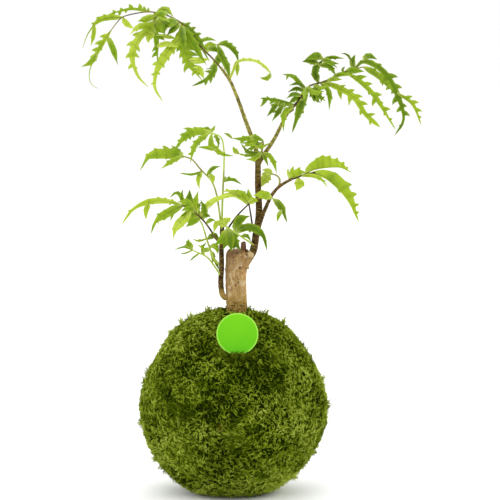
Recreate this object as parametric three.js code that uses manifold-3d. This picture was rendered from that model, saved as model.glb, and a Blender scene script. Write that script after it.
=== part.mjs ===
import * as THREE from 'three';
import { mergeVertices } from 'three/addons/utils/BufferGeometryUtils.js';
import Module from 'manifold-3d';

// A fern-leaved aralia, grown from a piece of cane in a moss ball.
// Millimetres, +Z up, the front towards -Y, the origin in the middle of the flat spot under the ball.

const wasm = await Module();
wasm.setup();

// Moss ball
const ballRadius = 80;
const ballCentreHeight = 76.5;
const ballLump = 1.2;
const footBulge = 0.028;
const footBulgeAngle = -1.15;
const footBulgeSpread = 0.5;
const flankDip = 0.046;
const flankDipAngle = 0.5;
const flankDipSpread = 0.36;
const soilScale = 0.87;

// Cane trunk: height, radius and sideways shift of its axis, from the buried end to the cut top
const trunkStations = [
  [98, 5.2, 2.4],
  [112, 6.8, 2.6],
  [140, 8.2, 2.9],
  [158, 8.5, 3.0],
  [172, 8.1, 3.1],
  [186, 8.1, 3.3],
  [196, 8.7, 3.9],
  [203, 9.2, 4.4],
  [206, 8.2, 4.6],
];
const barkRipple = 0.35;
const stub = { across: 8.8, height: 9, radius: 2.2, sunk: 2 };
const shoulder = { radius: 5, centre: [13.2, 0, 201.5] };
const snag = { radius: 2, centre: [11.2, -2, 190] };
const shootSides = 7;
const shootStep = 12;

// Label tag: a disc on a pick
const tagRadius = 17.4;
const tagThickness = 1.4;
const tagTilt = THREE.MathUtils.degToRad(15);
const tagCentre = [3.8, -56.5, 143.6];
const pick = { width: 5, length: 30, overlap: 6, point: 8 };

// Leaves
const bladeThickness = 0.7;
const bladeFold = 0.22;
const lobeSpacing = 12;
const mostLobes = 5;
const ribShare = 0.36;
const leastHalfWidth = 0.5;
const bladeTail = 0.1;
const rachisRadii = [0.95, 0.6];
const rachisSides = 5;
const rachisStep = 12;

// Clearance between pieces that touch
const fitGap = 0.3;

// The plant is laid out in the plane of its front view, which looks down by frontTilt. A point
// is [across, up, depth]: up is above the front edge of the foot, depth is away from the front.
const frontTilt = THREE.MathUtils.degToRad(8);
const frontEdgeDrop = 3.4;
const viewDirection = new THREE.Vector3(0, Math.cos(frontTilt), -Math.sin(frontTilt));

// Shoots: points along the wood, then the radius at each end
const rightShoot = {
  main: [
    [[13, 198, 0], [16.8, 205.8, 0], [19.3, 220, 1], [21.8, 237, 2], [21, 262, 3], [21, 284, 4]],
    3, 2.1,
  ],
  leftStick: [
    [[21, 280, 4], [19.3, 291.5, 5], [10.9, 315, 9], [1.7, 340.2, 14], [-3.4, 351, 16], [-10.1, 360.4, 18]],
    2, 1.2,
  ],
  rightStick: [
    [[21.5, 280, 4], [27.7, 289.8, 0], [35.3, 301.6, -4], [45.4, 320.9, -9], [50.4, 325.1, -11]],
    1.9, 1.2,
  ],
  sideBranch: [
    [[22, 228, 1], [26, 239.4, -3], [32.8, 253.7, -9], [38.6, 260.4, -12], [49.6, 267.1, -16]],
    1.8, 1.2,
  ],
};
const leftShoot = {
  main: [
    [[-1, 167, 0], [-7.6, 169, -3], [-9.4, 178, -4], [-9.4, 203, -4], [-9, 220, -3], [-9.2, 231, -3]],
    2, 1.7,
  ],
};

// Fronds. Each leaflet is [points across and up, reach away from the front, width, roll in degrees,
// lean]. Its first point only picks the nearest place on the stem or on an earlier leaflet. Lean
// shares the width between the two sides: 0 is even and 1 has all of it on the side turned up.
const fronds = {
  frond_top_left: {
    on: 'right',
    stems: [[[-7.6, 357, 17], [-16, 367.1, 20], [-29.4, 380.5, 24], [-44.5, 399, 28], [-66.4, 407.4, 30],
      [-88.2, 404.9, 30], [-94.1, 402.4, 30], [-105, 388.9, 29]]],
    leaflets: [
      [[[-103.3, 393.1], [-110, 381], [-118, 366], [-121, 354], [-116, 344]], -6, 10, 15, -0.6],
      [[[-114, 374], [-120, 365], [-127.5, 361.5]], -5, 4, 10],
      [[[-94.1, 404], [-111.7, 400.7], [-121.8, 389], [-125.2, 377.2]], -10, 6.5, -20, -0.4],
      [[[-115.9, 396], [-117.5, 386], [-119.3, 378.8]], -6, 3, 10],
      [[[-105.8, 388], [-101.6, 377.2], [-96.6, 362.9]], -8, 4, 25],
      [[[-93.2, 403.2], [-89, 397.3], [-83.2, 393.1]], -12, 4.2, -15],
      [[[-68, 407], [-76, 409.5], [-86.5, 411], [-105.8, 406.6]], 22, 8.5, 35, -0.6],
      [[[-66.4, 406.6], [-64.7, 385.6], [-63, 363.7]], -16, 8, 10],
      [[[-66, 393.1], [-76, 388], [-84, 372], [-80, 354], [-71, 344]], -14, 11, -10, -0.4],
      [[[-66, 394], [-78.1, 395.6], [-86.5, 388.1]], -8, 5, 20],
      [[[-66, 391], [-71, 386], [-70.5, 381]], -10, 5, 10],
      [[[-39.5, 391], [-52, 377], [-63, 360], [-65.5, 344], [-58.8, 331.8]], -30, 12.5, 5, -0.2],
      [[[-64, 400], [-58.5, 397.5], [-55, 391]], -22, 5, 10],
      [[[-63.8, 408.2], [-56.3, 409.1], [-49.6, 402.4]], -22, 4.5, 20],
      [[[-63.8, 406.6], [-58.8, 402.4], [-52.1, 397.3]], -34, 5, -20],
      [[[-66.4, 404.9], [-73.1, 401.5], [-79.8, 399]], -14, 4.5, 15],
      [[[-66, 400], [-70, 396.5], [-74, 396]], -10, 4, 15],
      [[[-64, 387.2], [-54.6, 386.4], [-45.4, 384.7]], 4, 3.2, 30],
      [[[-64, 378], [-55.4, 380.5], [-45.4, 377.2]], -6, 4, -15],
      [[[-43.7, 398], [-42, 384], [-39.5, 372], [-34, 360], [-25, 348.6]], -22, 19, 0, 0.35],
      [[[-44, 396], [-42.3, 386], [-40, 372]], -30, 5, 10],
      [[[-43.5, 396], [-36, 385], [-29, 373], [-22, 362]], -24, 8, 20],
      [[[-47, 400], [-53, 398], [-58.5, 391]], -26, 6.5, 10],
      [[[-62, 396], [-56, 397], [-49, 400]], -20, 5.5, -10],
      [[[-66, 399], [-60, 395], [-56.5, 386]], -26, 5.5, 15],
      [[[-66, 389], [-72, 395], [-81, 392.5]], -18, 6, 15],
      [[[-66, 403], [-60, 405.5], [-53.5, 404]], -30, 4.5, 10],
      [[[-45.4, 397], [-50.4, 393.1], [-55.4, 387.2]], -10, 4.5, 20],
      [[[-43.7, 399], [-31.1, 385.6], [-20.2, 367.1]], 28, 11, 10, 0.5],
      [[[-14.3, 366], [-15.5, 356], [-23, 348], [-34.4, 344.4]], -14, 10, -10, -0.3],
      [[[-23.5, 374.6], [-20.2, 380.5], [-13.4, 381.5]], 12, 5.4, 20],
      [[[-19.5, 377], [-16, 378], [-11.5, 374.5]], 8, 4.6, 10],
      [[[-13.4, 381.5], [-10.5, 371], [-6, 361], [-2.8, 349.5]], -26, 6.5, 10],
      [[[-13.4, 381.5], [-7.5, 380], [-1, 375], [4.4, 364.5]], 10, 6, 15],
      [[[-3, 352], [0.5, 360], [3, 366.4], [16, 368.5], [31.9, 355.3]], 18, 4, -20],
      [[[31.9, 355.3], [28, 351.5], [22.7, 352.8]], 4, 3, 0],
      [[[3.4, 366], [3.4, 360], [3.4, 354.5]], 6, 3.2, 10],
    ],
  },
  frond_top_right: {
    on: 'right',
    stems: [[[47.9, 323.4, -10], [58, 336.8, -13], [63, 343.6, -15], [76.4, 347.8, -18], [92.4, 355.3, -22],
      [108.4, 359.5, -25]]],
    leaflets: [
      [[[52, 328], [36.1, 333.5], [22.7, 334.5]], -16, 12, 10, 0.6],
      [[[43, 331], [38, 322.5], [32.5, 314.5]], -8, 5.5, -10],
      [[[51, 327], [43, 322], [42, 305.8]], -18, 5.5, 15],
      [[[39, 333], [34.5, 326], [28.5, 318.5]], -6, 7, -10],
      [[[62.2, 342], [56, 325.1], [49.6, 305.8]], 22, 9.5, -10],
      [[[60, 339], [53, 342], [45.5, 338.5]], -10, 5.5, 10],
      [[[61, 341], [55, 346], [46.5, 344]], -14, 5, 10],
      [[[57, 337], [50, 337], [44.5, 333]], -16, 5, 0],
      [[[65, 344], [60, 339], [59, 331]], -26, 5.5, 10],
      [[[68, 345], [73, 342], [79.5, 343]], -28, 4.6, -10],
      [[[58.5, 333], [52.5, 333.5], [45.5, 328.5]], -12, 6, -10],
      [[[70, 346], [69.5, 338], [77, 330.5]], -22, 8.5, 5],
      [[[60.5, 341], [49.6, 350.3], [40.3, 350.3]], -20, 6.5, 15],
      [[[64, 343], [67.2, 334.3], [73.1, 329.3]], -18, 6, 20],
      [[[62, 342], [68, 338], [76, 339]], -24, 5, 10],
      [[[71.4, 346], [68.2, 356.2], [76.4, 367.1]], -10, 7, -10],
      [[[72, 362], [64.7, 364.5], [57.5, 363.5]], -8, 6.5, 10],
      [[[76, 366], [69, 370.5], [60, 366.5]], -4, 8, 15],
      [[[75, 366], [82.3, 367.1], [92.4, 366.2]], -6, 3, 30],
      [[[74, 365], [80.6, 362.9], [88.2, 361.2]], -16, 3, -10],
      [[[75, 365], [79, 364], [86.5, 357.8]], -20, 3.4, 5],
      [[[71, 361], [79.8, 359.5], [85.7, 351]], -20, 6, 5],
      [[[73.1, 346.9], [80.6, 339.4], [80.6, 325.9]], -14, 5.5, 20],
      [[[78.1, 348.6], [84, 349.4], [90.7, 348.6]], -20, 3, 0],
      [[[75, 347], [88, 342], [100.5, 334], [110, 320], [121.8, 309.1]], -30, 13, 0, 0.45],
      [[[92.4, 355], [104.5, 349.5], [116.5, 337], [126, 322], [135.2, 307.4]], -12, 13, -8, 0.5],
      [[[108.4, 359.5], [123.5, 350.3], [136.9, 336.8]], 26, 10, 15, 0.3],
      [[[101.6, 357.8], [108.4, 365.4], [125.2, 357.8], [138.6, 335.2], [142.3, 316], [134.4, 303]],
        -6, 13, -10, 0.2],
      [[[108, 365.4], [112.6, 368.8], [120.1, 366.2]], 12, 4.5, 10],
      [[[137.5, 339], [149, 328.4], [156.2, 310.8]], -14, 7, 10, 0.5],
      [[[100.8, 357.8], [99.1, 363.7], [101.6, 369.6]], -6, 4, 0],
      [[[99.5, 363], [94.9, 369.6], [89.9, 370.4]], -4, 2, 0],
    ],
  },
  frond_right: {
    on: 'right',
    stems: [[[47, 266.3, -15], [53.8, 268, -17], [59.6, 270.5, -18], [68.9, 272.2, -20]]],
    leaflets: [
      [[[60, 270.5], [67, 275.5], [80, 278], [90, 277], [99.1, 271.5]], 16, 13.5, 10, 0.6],
      [[[64, 271.5], [77.3, 268.8], [89.5, 255.4], [98, 242], [104.2, 230]], -14, 17, -5, 0.6],
      [[[56.3, 268.8], [67.2, 267.1], [79, 258.7]], -26, 4.5, 20],
      [[[49.5, 267], [51.2, 272], [58, 276]], -10, 8.5, 10],
      [[[53.8, 268], [55.4, 262.9], [52.9, 257]], -8, 6.5, -10],
    ],
  },
  frond_right_low: {
    on: 'right',
    stems: [[[30.2, 250.3, -7], [32.5, 251, -10], [34.5, 249.5, -12]]],
    leaflets: [
      [[[34, 250], [40.3, 242.8], [45.4, 230.2]], -10, 6.5, 10],
      [[[33, 251], [25.2, 253.7], [16.8, 252.8]], -6, 7, -5],
      [[[41.2, 241], [38.6, 237.7], [37, 231]], -3, 3, 10],
    ],
  },
  frond_right_back: {
    on: 'right',
    stems: [[[38.6, 260.4, -12], [39.2, 266.3, -7], [36.5, 270, 1], [31.5, 271.5, 9]]],
    leaflets: [
      [[[31.5, 271.5], [27.7, 268.8], [23, 260]], 5, 6.5, 5],
      [[[33, 271], [29, 274], [24.5, 275]], 8, 4, -10],
    ],
  },
  frond_fork: {
    on: 'right',
    stems: [[[22.5, 284, 3], [24.4, 291.5, -5], [25.4, 296.5, -10], [24.4, 299.9, -13]]],
    leaflets: [
      [[[24.4, 299.9], [14.3, 302.4], [5.9, 301.6], [-1.7, 300.7]], -6, 6, 20],
      [[[25.2, 297.4], [17.6, 293.5], [10.9, 290.6]], -8, 6.5, -10],
      [[[24.6, 294.8], [18.5, 298.2], [9.2, 297.4]], -12, 6, 10],
      [[[24, 295], [16, 295.5], [8, 293.5]], -16, 6.5, 10],
      [[[24.4, 296], [28.5, 293], [30, 285.5]], -16, 6, 10],
      [[[24.4, 297], [20, 302.5], [12, 305]], -4, 4.6, 15],
      [[[24, 290], [18, 284], [11, 283]], -12, 5, 10],
      [[[24, 289], [13, 289.5], [6.7, 296.5]], -8, 4, 15],
      [[[24, 287.5], [12, 286.5], [4.2, 288.1]], -9, 3.2, -10],
      [[[24.4, 291.5], [30, 285], [35.3, 272.2]], -10, 5, 10],
      [[[24.4, 293], [31, 291], [38, 289]], -6, 3.4, 10],
      [[[-1, 300.7], [-3.4, 303.2], [-7.6, 304.9]], -3, 2.6, 0],
      [[[5, 288], [1.7, 290.6], [0, 294]], -2, 3, 0],
    ],
  },
  frond_upper_left: {
    on: 'left',
    stems: [[[-9.2, 229.6, -3], [-9, 241.1, -4.5], [-8.4, 257.9, -6], [-7.6, 274.7, -9], [-7.6, 291.5, -12],
      [-10.1, 301.6, -14], [-20.2, 305.8, -17]]],
    leaflets: [
      [[[-19.3, 305], [-29.4, 308], [-39.5, 303.5], [-47.9, 291.5]], -14, 10, 10, -0.4],
      [[[-19.8, 305], [-31.1, 294.8], [-35.3, 279.7]], -24, 5.5, -15],
      [[[-17.6, 304.9], [-18.5, 296.5], [-9.2, 287.3], [0.8, 285.6]], -18, 6.5, 10],
      [[[-14, 290], [-21, 292.5], [-29.4, 293]], -6, 2.6, 0],
      [[[-15.1, 304.1], [-12.6, 299], [-11.8, 293.2]], 12, 4, 0],
      [[[-17.5, 305], [-21, 308.8], [-27, 308.6]], 6, 2.6, 0],
      [[[-18.5, 305], [-16, 309], [-14.8, 311.5]], 4, 2.2, 0],
      [[[-8.4, 264.6], [-0.8, 266.3], [7.6, 262.1]], -5, 4, 15],
    ],
  },
  frond_mid_left: {
    on: 'left',
    stems: [[[-9.2, 224.5, -3], [-10.2, 230, -8.5], [-11.8, 242.8, -11.5], [-13.6, 253.7, -13],
      [-17.6, 264.6, -17], [-26.9, 274.7, -22], [-34.4, 283.1, -26], [-42, 285.6, -28]]],
    leaflets: [
      [[[-41.2, 285.6], [-57.1, 287.3], [-70.6, 286.4], [-77.3, 273.8]], -8, 13, 5, -0.45],
      [[[-42, 285], [-50.4, 281.2], [-59.6, 274.7]], -18, 4.5, -10],
      [[[-42.8, 286.4], [-47, 290.6], [-51.2, 294.8]], 12, 4.5, 0],
      [[[-25.2, 273], [-34.4, 270.3], [-44.5, 271.5]], -16, 3.2, 20],
      [[[-26.9, 274], [-29, 265.4], [-27.7, 258.5]], -8, 4.2, 0],
      [[[-21, 269], [-17.6, 268], [-16, 262.9]], -14, 4.2, 0],
      [[[-21.8, 270], [-16.8, 275.5], [-10.1, 277.2]], -10, 2.8, 0],
    ],
  },
  frond_left: {
    on: 'left',
    stems: [[[-10.1, 212, -4], [-13.6, 216, -9], [-19.3, 225.1, -15], [-25.2, 232.7, -20], [-36.1, 242, -28],
      [-42, 244.4, -30]]],
    leaflets: [
      [[[-41.2, 244.4], [-52.9, 249.5], [-69.7, 249.5], [-84, 242.8], [-92.4, 229.3]], -6, 8.5, 10, -0.2],
      [[[-69.7, 249], [-72.2, 240.2], [-72.2, 232.7]], -4, 3.6, 0],
      [[[-42, 244], [-54.6, 240.2], [-64.7, 231.8], [-68, 222]], -22, 9, -10],
      [[[-37, 242], [-43.7, 231.8], [-49.6, 215]], -16, 7.5, 15],
      [[[-40.3, 244], [-42.8, 252], [-41.2, 257.9]], -12, 4, 0],
      [[[-36.1, 242], [-36.1, 250.3], [-36.1, 257.9]], 6, 4.2, 10],
      [[[-30.5, 237], [-32.5, 249.5], [-29.4, 257]], -6, 3.6, 0],
      [[[-39, 243.5], [-46.2, 255.4], [-52.9, 251.2]], 14, 3.4, 0],
      [[[-26, 234], [-28.6, 241.1], [-22.7, 245.3]], -6, 7, 20],
      [[[-29, 235], [-35.5, 238], [-43.5, 235.5]], -10, 5, 0],
      [[[-31, 238], [-36, 242.5], [-43, 240]], -14, 4.6, 10],
      [[[-26, 234], [-23.5, 236.5], [-18.5, 235.5]], -6, 4, 0],
      [[[-33, 240], [-38, 247], [-46, 247.5]], -14, 5, 10],
      [[[-27, 234], [-33, 231.5], [-39, 226.5]], -14, 5, -10],
      [[[-23, 231], [-20, 240], [-25, 249]], -10, 4.4, 10],
      [[[-22, 230], [-17, 231.5], [-12.5, 227]], -10, 4, 0],
      [[[-26, 234], [-14.3, 247], [-0.8, 254]], -12, 5, 0],
    ],
  },
  frond_lower_left: {
    on: 'left',
    stems: [[[-10.2, 186, -4], [-15.1, 193.2, -10], [-21.8, 201.6, -17], [-34.4, 207.5, -24]]],
    leaflets: [
      [[[-33.6, 207.5], [-36.1, 211.7], [-39.5, 215]], -5, 6.5, 10],
      [[[-34, 207.5], [-41.2, 210], [-48.7, 207.5]], -6, 4.5, -10],
      [[[-34, 207], [-39.5, 204.8], [-43.7, 204.6]], -12, 3, 0],
      [[[-27.7, 205], [-31.9, 202], [-36.1, 198]], -10, 3.6, 0],
      [[[-25.2, 204], [-25.2, 210], [-21.8, 214.2]], -6, 3.8, 10],
      [[[-24, 203.5], [-25.5, 209], [-30, 212]], -8, 2.6, 0],
    ],
  },
  frond_lower_back: {
    on: 'left',
    stems: [[[-10.2, 194, -3.5], [-16, 200.7, -1], [-21.8, 215.9, -2], [-26.9, 231, -5], [-31.1, 234.4, -8]]],
    leaflets: [
      [[[-18.5, 206.6], [-16.6, 202], [-17.6, 196]], 6, 3.2, 0],
      [[[-16, 201], [-13.5, 195], [-11.5, 190.5]], 3, 3.4, 0],
      [[[-22.7, 217], [-28.6, 215], [-33.6, 216.7]], -8, 3.6, 10],
      [[[-22, 216], [-16, 219.5], [-10.5, 213]], 5, 4, 10],
      [[[-20, 210], [-14.5, 210.5], [-12.5, 204]], -6, 3.8, 0],
      [[[-19, 207], [-24, 207.5], [-26.5, 203]], 6, 3.4, 0],
      [[[-30.2, 234], [-35.3, 235.2], [-39.5, 230]], 6, 4.5, 0],
    ],
  },
  frond_centre: {
    on: 'both',
    stems: [
      [[20.4, 224, 1], [16.5, 228, -7], [15.1, 236, -10], [13.4, 246.1, -12]],
      [[-9.2, 218, -3], [-2.5, 228, -9], [4.2, 236.9, -11], [13.4, 246.1, -12]],
    ],
    leaflets: [
      [[[12.6, 246], [7.6, 254.5], [0, 257.9]], -8, 7, 10],
      [[[12.4, 245.5], [5.9, 251.2], [-3.4, 255.4], [-9.2, 254.5]], -5, 5, -20],
      [[[12.4, 246], [2, 252], [-11, 249], [-21.5, 239]], -6, 4.6, 10],
      [[[13.4, 246], [13.4, 252.8], [12.6, 258.7]], 4, 4.4, 0],
      [[[13.4, 246], [10.5, 252], [10, 257]], 2, 3.4, 0],
      [[[13.4, 246], [17.6, 249.5], [21, 248]], -5, 4.4, 0],
    ],
  },
  frond_stump_top: {
    on: 'right',
    stems: [[[17.6, 211, 0], [14.3, 214, -8], [8.4, 217.6, -13], [2.5, 221.8, -15], [-6.7, 227.7, -13]]],
    leaflets: [
      [[[-5, 226], [-5, 215.9], [-8.4, 207.5]], -8, 10, 10],
      [[[-1, 224], [1.7, 214.2], [6.7, 207]], -6, 8.5, -10],
      [[[-3, 225], [-2.5, 216], [-1, 206.5]], -10, 6.5, 0],
      [[[-4, 225], [-9, 216], [-15.5, 212]], -6, 6, 0],
      [[[2.5, 222.6], [12.6, 226.8], [24.4, 220.9], [28.6, 207]], -8, 8.5, 5],
      [[[6.7, 219], [11.8, 219.5], [15.1, 214.5]], -10, 4, 0],
      [[[1.5, 222.5], [5.9, 233.5], [14.3, 236.9]], -10, 7, 10],
      [[[-5.9, 227], [-12.6, 229.3], [-16, 221.8]], -12, 4, 0],
      [[[-5.9, 227], [-5.9, 231], [-1.7, 234.5]], -8, 5, 15],
    ],
  },
};

const colours = {
  moss: 0x5f7220,
  soil: 0x3a2a1c,
  cane: 0xae9461,
  rightShoot: 0x5c4a28,
  leftShoot: 0x4f3f24,
  tag: 0x86d826,
  leafLight: 0x9cbf35,
  leafDark: 0x6f9a2a,
};

function place([across, up, depth]) {
  const z = (up - frontEdgeDrop - depth * Math.sin(frontTilt)) / Math.cos(frontTilt);
  return new THREE.Vector3(across, depth, z);
}

function seededRandom(seed) {
  let state = seed;
  return () => {
    state = (state * 1664525 + 1013904223) % 4294967296;
    return state / 4294967296;
  };
}

function solidOf(geometry) {
  geometry.deleteAttribute('normal');
  geometry.deleteAttribute('uv');
  const merged = mergeVertices(geometry, 1e-3);
  return new wasm.Manifold(new wasm.Mesh({
    numProp: 3,
    vertProperties: merged.attributes.position.array,
    triVerts: new Uint32Array(merged.index.array),
  }));
}

function moveVertices(geometry, move) {
  const positions = geometry.attributes.position;
  const point = new THREE.Vector3();
  for (let i = 0; i < positions.count; i += 1) {
    point.fromBufferAttribute(positions, i);
    move(point);
    positions.setXYZ(i, point.x, point.y, point.z);
  }
  return geometry;
}

function largestPiece(solid) {
  const pieces = solid.decompose();
  return pieces.reduce((best, piece) => (piece.volume() > best.volume() ? piece : best));
}

function addMesh(group, name, solid, colour, roughness) {
  const { vertProperties, triVerts } = largestPiece(solid).getMesh();
  const geometry = new THREE.BufferGeometry();
  geometry.setAttribute('position', new THREE.BufferAttribute(vertProperties, 3));
  geometry.setIndex(new THREE.BufferAttribute(triVerts, 1));
  const material = new THREE.MeshStandardMaterial({ color: colour, roughness, metalness: 0 });
  const mesh = new THREE.Mesh(geometry, material);
  mesh.name = name;
  group.add(mesh);
}

// Ball

function lumps(direction) {
  const { x, y, z } = direction;
  const broad = Math.sin(3.1 * x + 1.3) * Math.sin(2.7 * y + 0.4) + Math.sin(3.7 * z + 2.1 * x);
  const fine = Math.sin(8.3 * x + 2) * Math.sin(7.9 * y + 1) * Math.sin(7.1 * z + 0.5);
  return 0.5 * broad + 0.8 * fine;
}

function sideDip({ x, y }, slope) {
  const sideways = x ** 2 / Math.max(x ** 2 + y ** 2, 1e-6);
  return sideways * flankDip * Math.exp(-(((slope - flankDipAngle) / flankDipSpread) ** 2));
}

function ballSolid(scale, sides, rings) {
  const geometry = new THREE.SphereGeometry(1, sides, rings);
  geometry.rotateX(Math.PI / 2);
  moveVertices(geometry, (point) => {
    const slope = Math.asin(THREE.MathUtils.clamp(point.z, -1, 1));
    const bulge = footBulge * Math.exp(-(((slope - footBulgeAngle) / footBulgeSpread) ** 2));
    const radius = ballRadius * (1 + bulge - sideDip(point, slope)) + ballLump * lumps(point);
    point.multiplyScalar(radius);
    point.z = Math.max(point.z, -ballCentreHeight);
    point.multiplyScalar(scale);
    point.z += ballCentreHeight;
  });
  return solidOf(geometry);
}

// Wood

function tubeSolid(points, radii, sides, steps, clearance = 0) {
  const curve = new THREE.CatmullRomCurve3(points, false, 'centripetal');
  const frames = curve.computeFrenetFrames(steps);
  const geometry = new THREE.CylinderGeometry(1, 1, 1, sides, steps);
  moveVertices(geometry, (point) => {
    const step = Math.round((point.y + 0.5) * steps);
    const radius = THREE.MathUtils.lerp(...radii, step / steps) + clearance;
    const outward = frames.normals[step].clone().multiplyScalar(point.x * radius);
    outward.addScaledVector(frames.binormals[step], -point.z * radius);
    if (step === 0 || step === steps) {
      outward.addScaledVector(frames.tangents[step], step ? clearance : -clearance);
    }
    point.copy(curve.getPointAt(step / steps)).add(outward);
  });
  return solidOf(geometry);
}

function shootSolid(shoot, clearance) {
  const branches = Object.values(shoot).map(([points, ...radii]) => {
    const path = points.map(place);
    const length = new THREE.CatmullRomCurve3(path).getLength();
    return tubeSolid(path, radii, shootSides, Math.round(length / shootStep) + 2, clearance);
  });
  return wasm.Manifold.union(branches);
}

function trunkAt(height) {
  const last = trunkStations.length - 1;
  const above = trunkStations.findIndex(([z]) => z >= height);
  const next = above < 0 ? last : Math.max(1, above);
  const [lowZ, lowRadius, lowShift] = trunkStations[next - 1];
  const [highZ, highRadius, highShift] = trunkStations[next];
  const share = THREE.MathUtils.clamp((height - lowZ) / (highZ - lowZ), 0, 1);
  return {
    radius: THREE.MathUtils.lerp(lowRadius, highRadius, share),
    shift: THREE.MathUtils.lerp(lowShift, highShift, share),
  };
}

function knobSolid({ radius, centre }, clearance) {
  const geometry = new THREE.SphereGeometry(radius + clearance, 8, 6);
  geometry.translate(...centre);
  return solidOf(geometry);
}

function trunkSolid(clearance) {
  const bottom = trunkStations[0][0];
  const top = trunkStations[trunkStations.length - 1][0];
  const geometry = new THREE.CylinderGeometry(1, 1, top - bottom + 2 * clearance, 16, 9);
  geometry.rotateX(Math.PI / 2);
  moveVertices(geometry, (point) => {
    const height = point.z + (top + bottom) / 2;
    const { radius, shift } = trunkAt(height);
    const angle = Math.atan2(point.y, point.x);
    const onSide = Math.hypot(point.x, point.y) > 0.5;
    const ripple = onSide ? barkRipple * Math.sin(3 * angle + height * 0.13) : 0;
    point.x = point.x * (radius + ripple + clearance) + shift;
    point.y *= radius + ripple + clearance;
    point.z = height;
  });
  const cut = new THREE.CylinderGeometry(stub.radius + clearance, stub.radius + clearance, stub.height, 9);
  cut.rotateX(Math.PI / 2);
  cut.translate(stub.across, 0, top + stub.height / 2 - stub.sunk + clearance);
  return wasm.Manifold.union([
    solidOf(geometry),
    solidOf(cut),
    knobSolid(shoulder, clearance),
    knobSolid(snag, clearance),
  ]);
}

// Tag

function tagSolid(clearance) {
  const thickness = tagThickness + 2 * clearance;
  const disc = new THREE.CylinderGeometry(tagRadius + clearance, tagRadius + clearance, thickness, 32);
  const halfWidth = pick.width / 2 + clearance;
  const outline = new THREE.Shape([
    new THREE.Vector2(-halfWidth, pick.overlap),
    new THREE.Vector2(-halfWidth, pick.point - pick.length),
    new THREE.Vector2(0, -pick.length - 3 * clearance),
    new THREE.Vector2(halfWidth, pick.point - pick.length),
    new THREE.Vector2(halfWidth, pick.overlap),
  ]);
  const strip = new THREE.ExtrudeGeometry(outline, { depth: thickness, bevelEnabled: false });
  strip.translate(0, -tagRadius, -thickness / 2);
  strip.rotateX(Math.PI / 2);
  const placeTag = (geometry) => {
    geometry.rotateX(-tagTilt);
    geometry.translate(...tagCentre);
    return solidOf(geometry);
  };
  return placeTag(disc).add(placeTag(strip));
}

// Leaves

function envelope(share) {
  return Math.sin(Math.PI * share ** 0.8) ** 0.9;
}

function leafFrame(midrib, share, roll) {
  const tangent = midrib.getTangentAt(share);
  const flat = new THREE.Vector3().crossVectors(tangent, viewDirection).normalize();
  const side = flat.applyAxisAngle(tangent, roll);
  const normal = new THREE.Vector3().crossVectors(side, tangent);
  return { side, normal };
}

function bladeOutline(length, width, lean, random) {
  const lobes = THREE.MathUtils.clamp(Math.round(length / lobeSpacing), 1, mostLobes);
  const spacing = (1 - bladeTail) / lobes;
  const points = [];
  const triangles = [];
  const addPoint = (share, across) => points.push([share, across]) - 1;
  const ribs = [];
  for (let k = 0; k <= lobes; k += 1) {
    ribs.push(addPoint(k * spacing, 0));
  }
  const end = addPoint(1, 0);
  for (const hand of [-1, 1]) {
    const halfWidth = (width / 2) * (1 + hand * lean);
    const notches = ribs.map((rib, k) => {
      const share = k * spacing;
      return addPoint(share, hand * Math.max(leastHalfWidth, ribShare * halfWidth * envelope(share)));
    });
    const add = (a, b, c) => triangles.push(hand > 0 ? [a, b, c] : [a, c, b]);
    for (let k = 0; k < lobes; k += 1) {
      const share = (k + 0.8 + 0.25 * random()) * spacing;
      const full = halfWidth * envelope(Math.min(share, 1)) * (0.8 + 0.35 * random());
      const reach = Math.max(1.2 * leastHalfWidth, full);
      const tip = addPoint(share, hand * reach);
      add(ribs[k], notches[k], notches[k + 1]);
      add(ribs[k], notches[k + 1], ribs[k + 1]);
      add(notches[k], tip, notches[k + 1]);
    }
    add(ribs[lobes], notches[lobes], end);
  }
  return { points, triangles };
}

function wallEdges(triangles) {
  const edges = new Map();
  for (const [a, b, c] of triangles) {
    for (const [from, to] of [[a, b], [b, c], [c, a]]) {
      if (!edges.delete(`${to},${from}`)) {
        edges.set(`${from},${to}`, [from, to]);
      }
    }
  }
  return [...edges.values()];
}

function bladeSolid(midrib, width, roll, lean, random) {
  const { points, triangles } = bladeOutline(midrib.getLength(), width, lean, random);
  const positions = [];
  for (const height of [bladeThickness / 2, -bladeThickness / 2]) {
    for (const [share, across] of points) {
      const { side, normal } = leafFrame(midrib, share, roll);
      const point = midrib.getPointAt(share).addScaledVector(side, across);
      point.addScaledVector(normal, height + bladeFold * Math.abs(across));
      positions.push(point.x, point.y, point.z);
    }
  }
  const under = points.length;
  const index = [];
  for (const [a, b, c] of triangles) {
    index.push(a, b, c, under + a, under + c, under + b);
  }
  for (const [from, to] of wallEdges(triangles)) {
    index.push(from, under + from, under + to, from, under + to, to);
  }
  const geometry = new THREE.BufferGeometry();
  geometry.setAttribute('position', new THREE.Float32BufferAttribute(positions, 3));
  geometry.setIndex(index);
  return solidOf(geometry);
}

function depthBeside(curves, [across, up]) {
  let best = null;
  for (const curve of curves) {
    for (const point of curve.getSpacedPoints(60)) {
      const pointUp = point.z * Math.cos(frontTilt) + point.y * Math.sin(frontTilt) + frontEdgeDrop;
      const distance = Math.hypot(point.x - across, pointUp - up);
      if (!best || distance < best.distance) {
        best = { distance, point };
      }
    }
  }
  return best.point;
}

function leafletCurve(curves, line, reach) {
  const base = depthBeside(curves, line[0]);
  const rest = line.slice(1).map(([across, up], i) => {
    const share = (i + 1) / (line.length - 1);
    return place([across, up, base.y + reach * share]);
  });
  return new THREE.CatmullRomCurve3([base.clone(), ...rest], false, 'centripetal');
}

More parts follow.
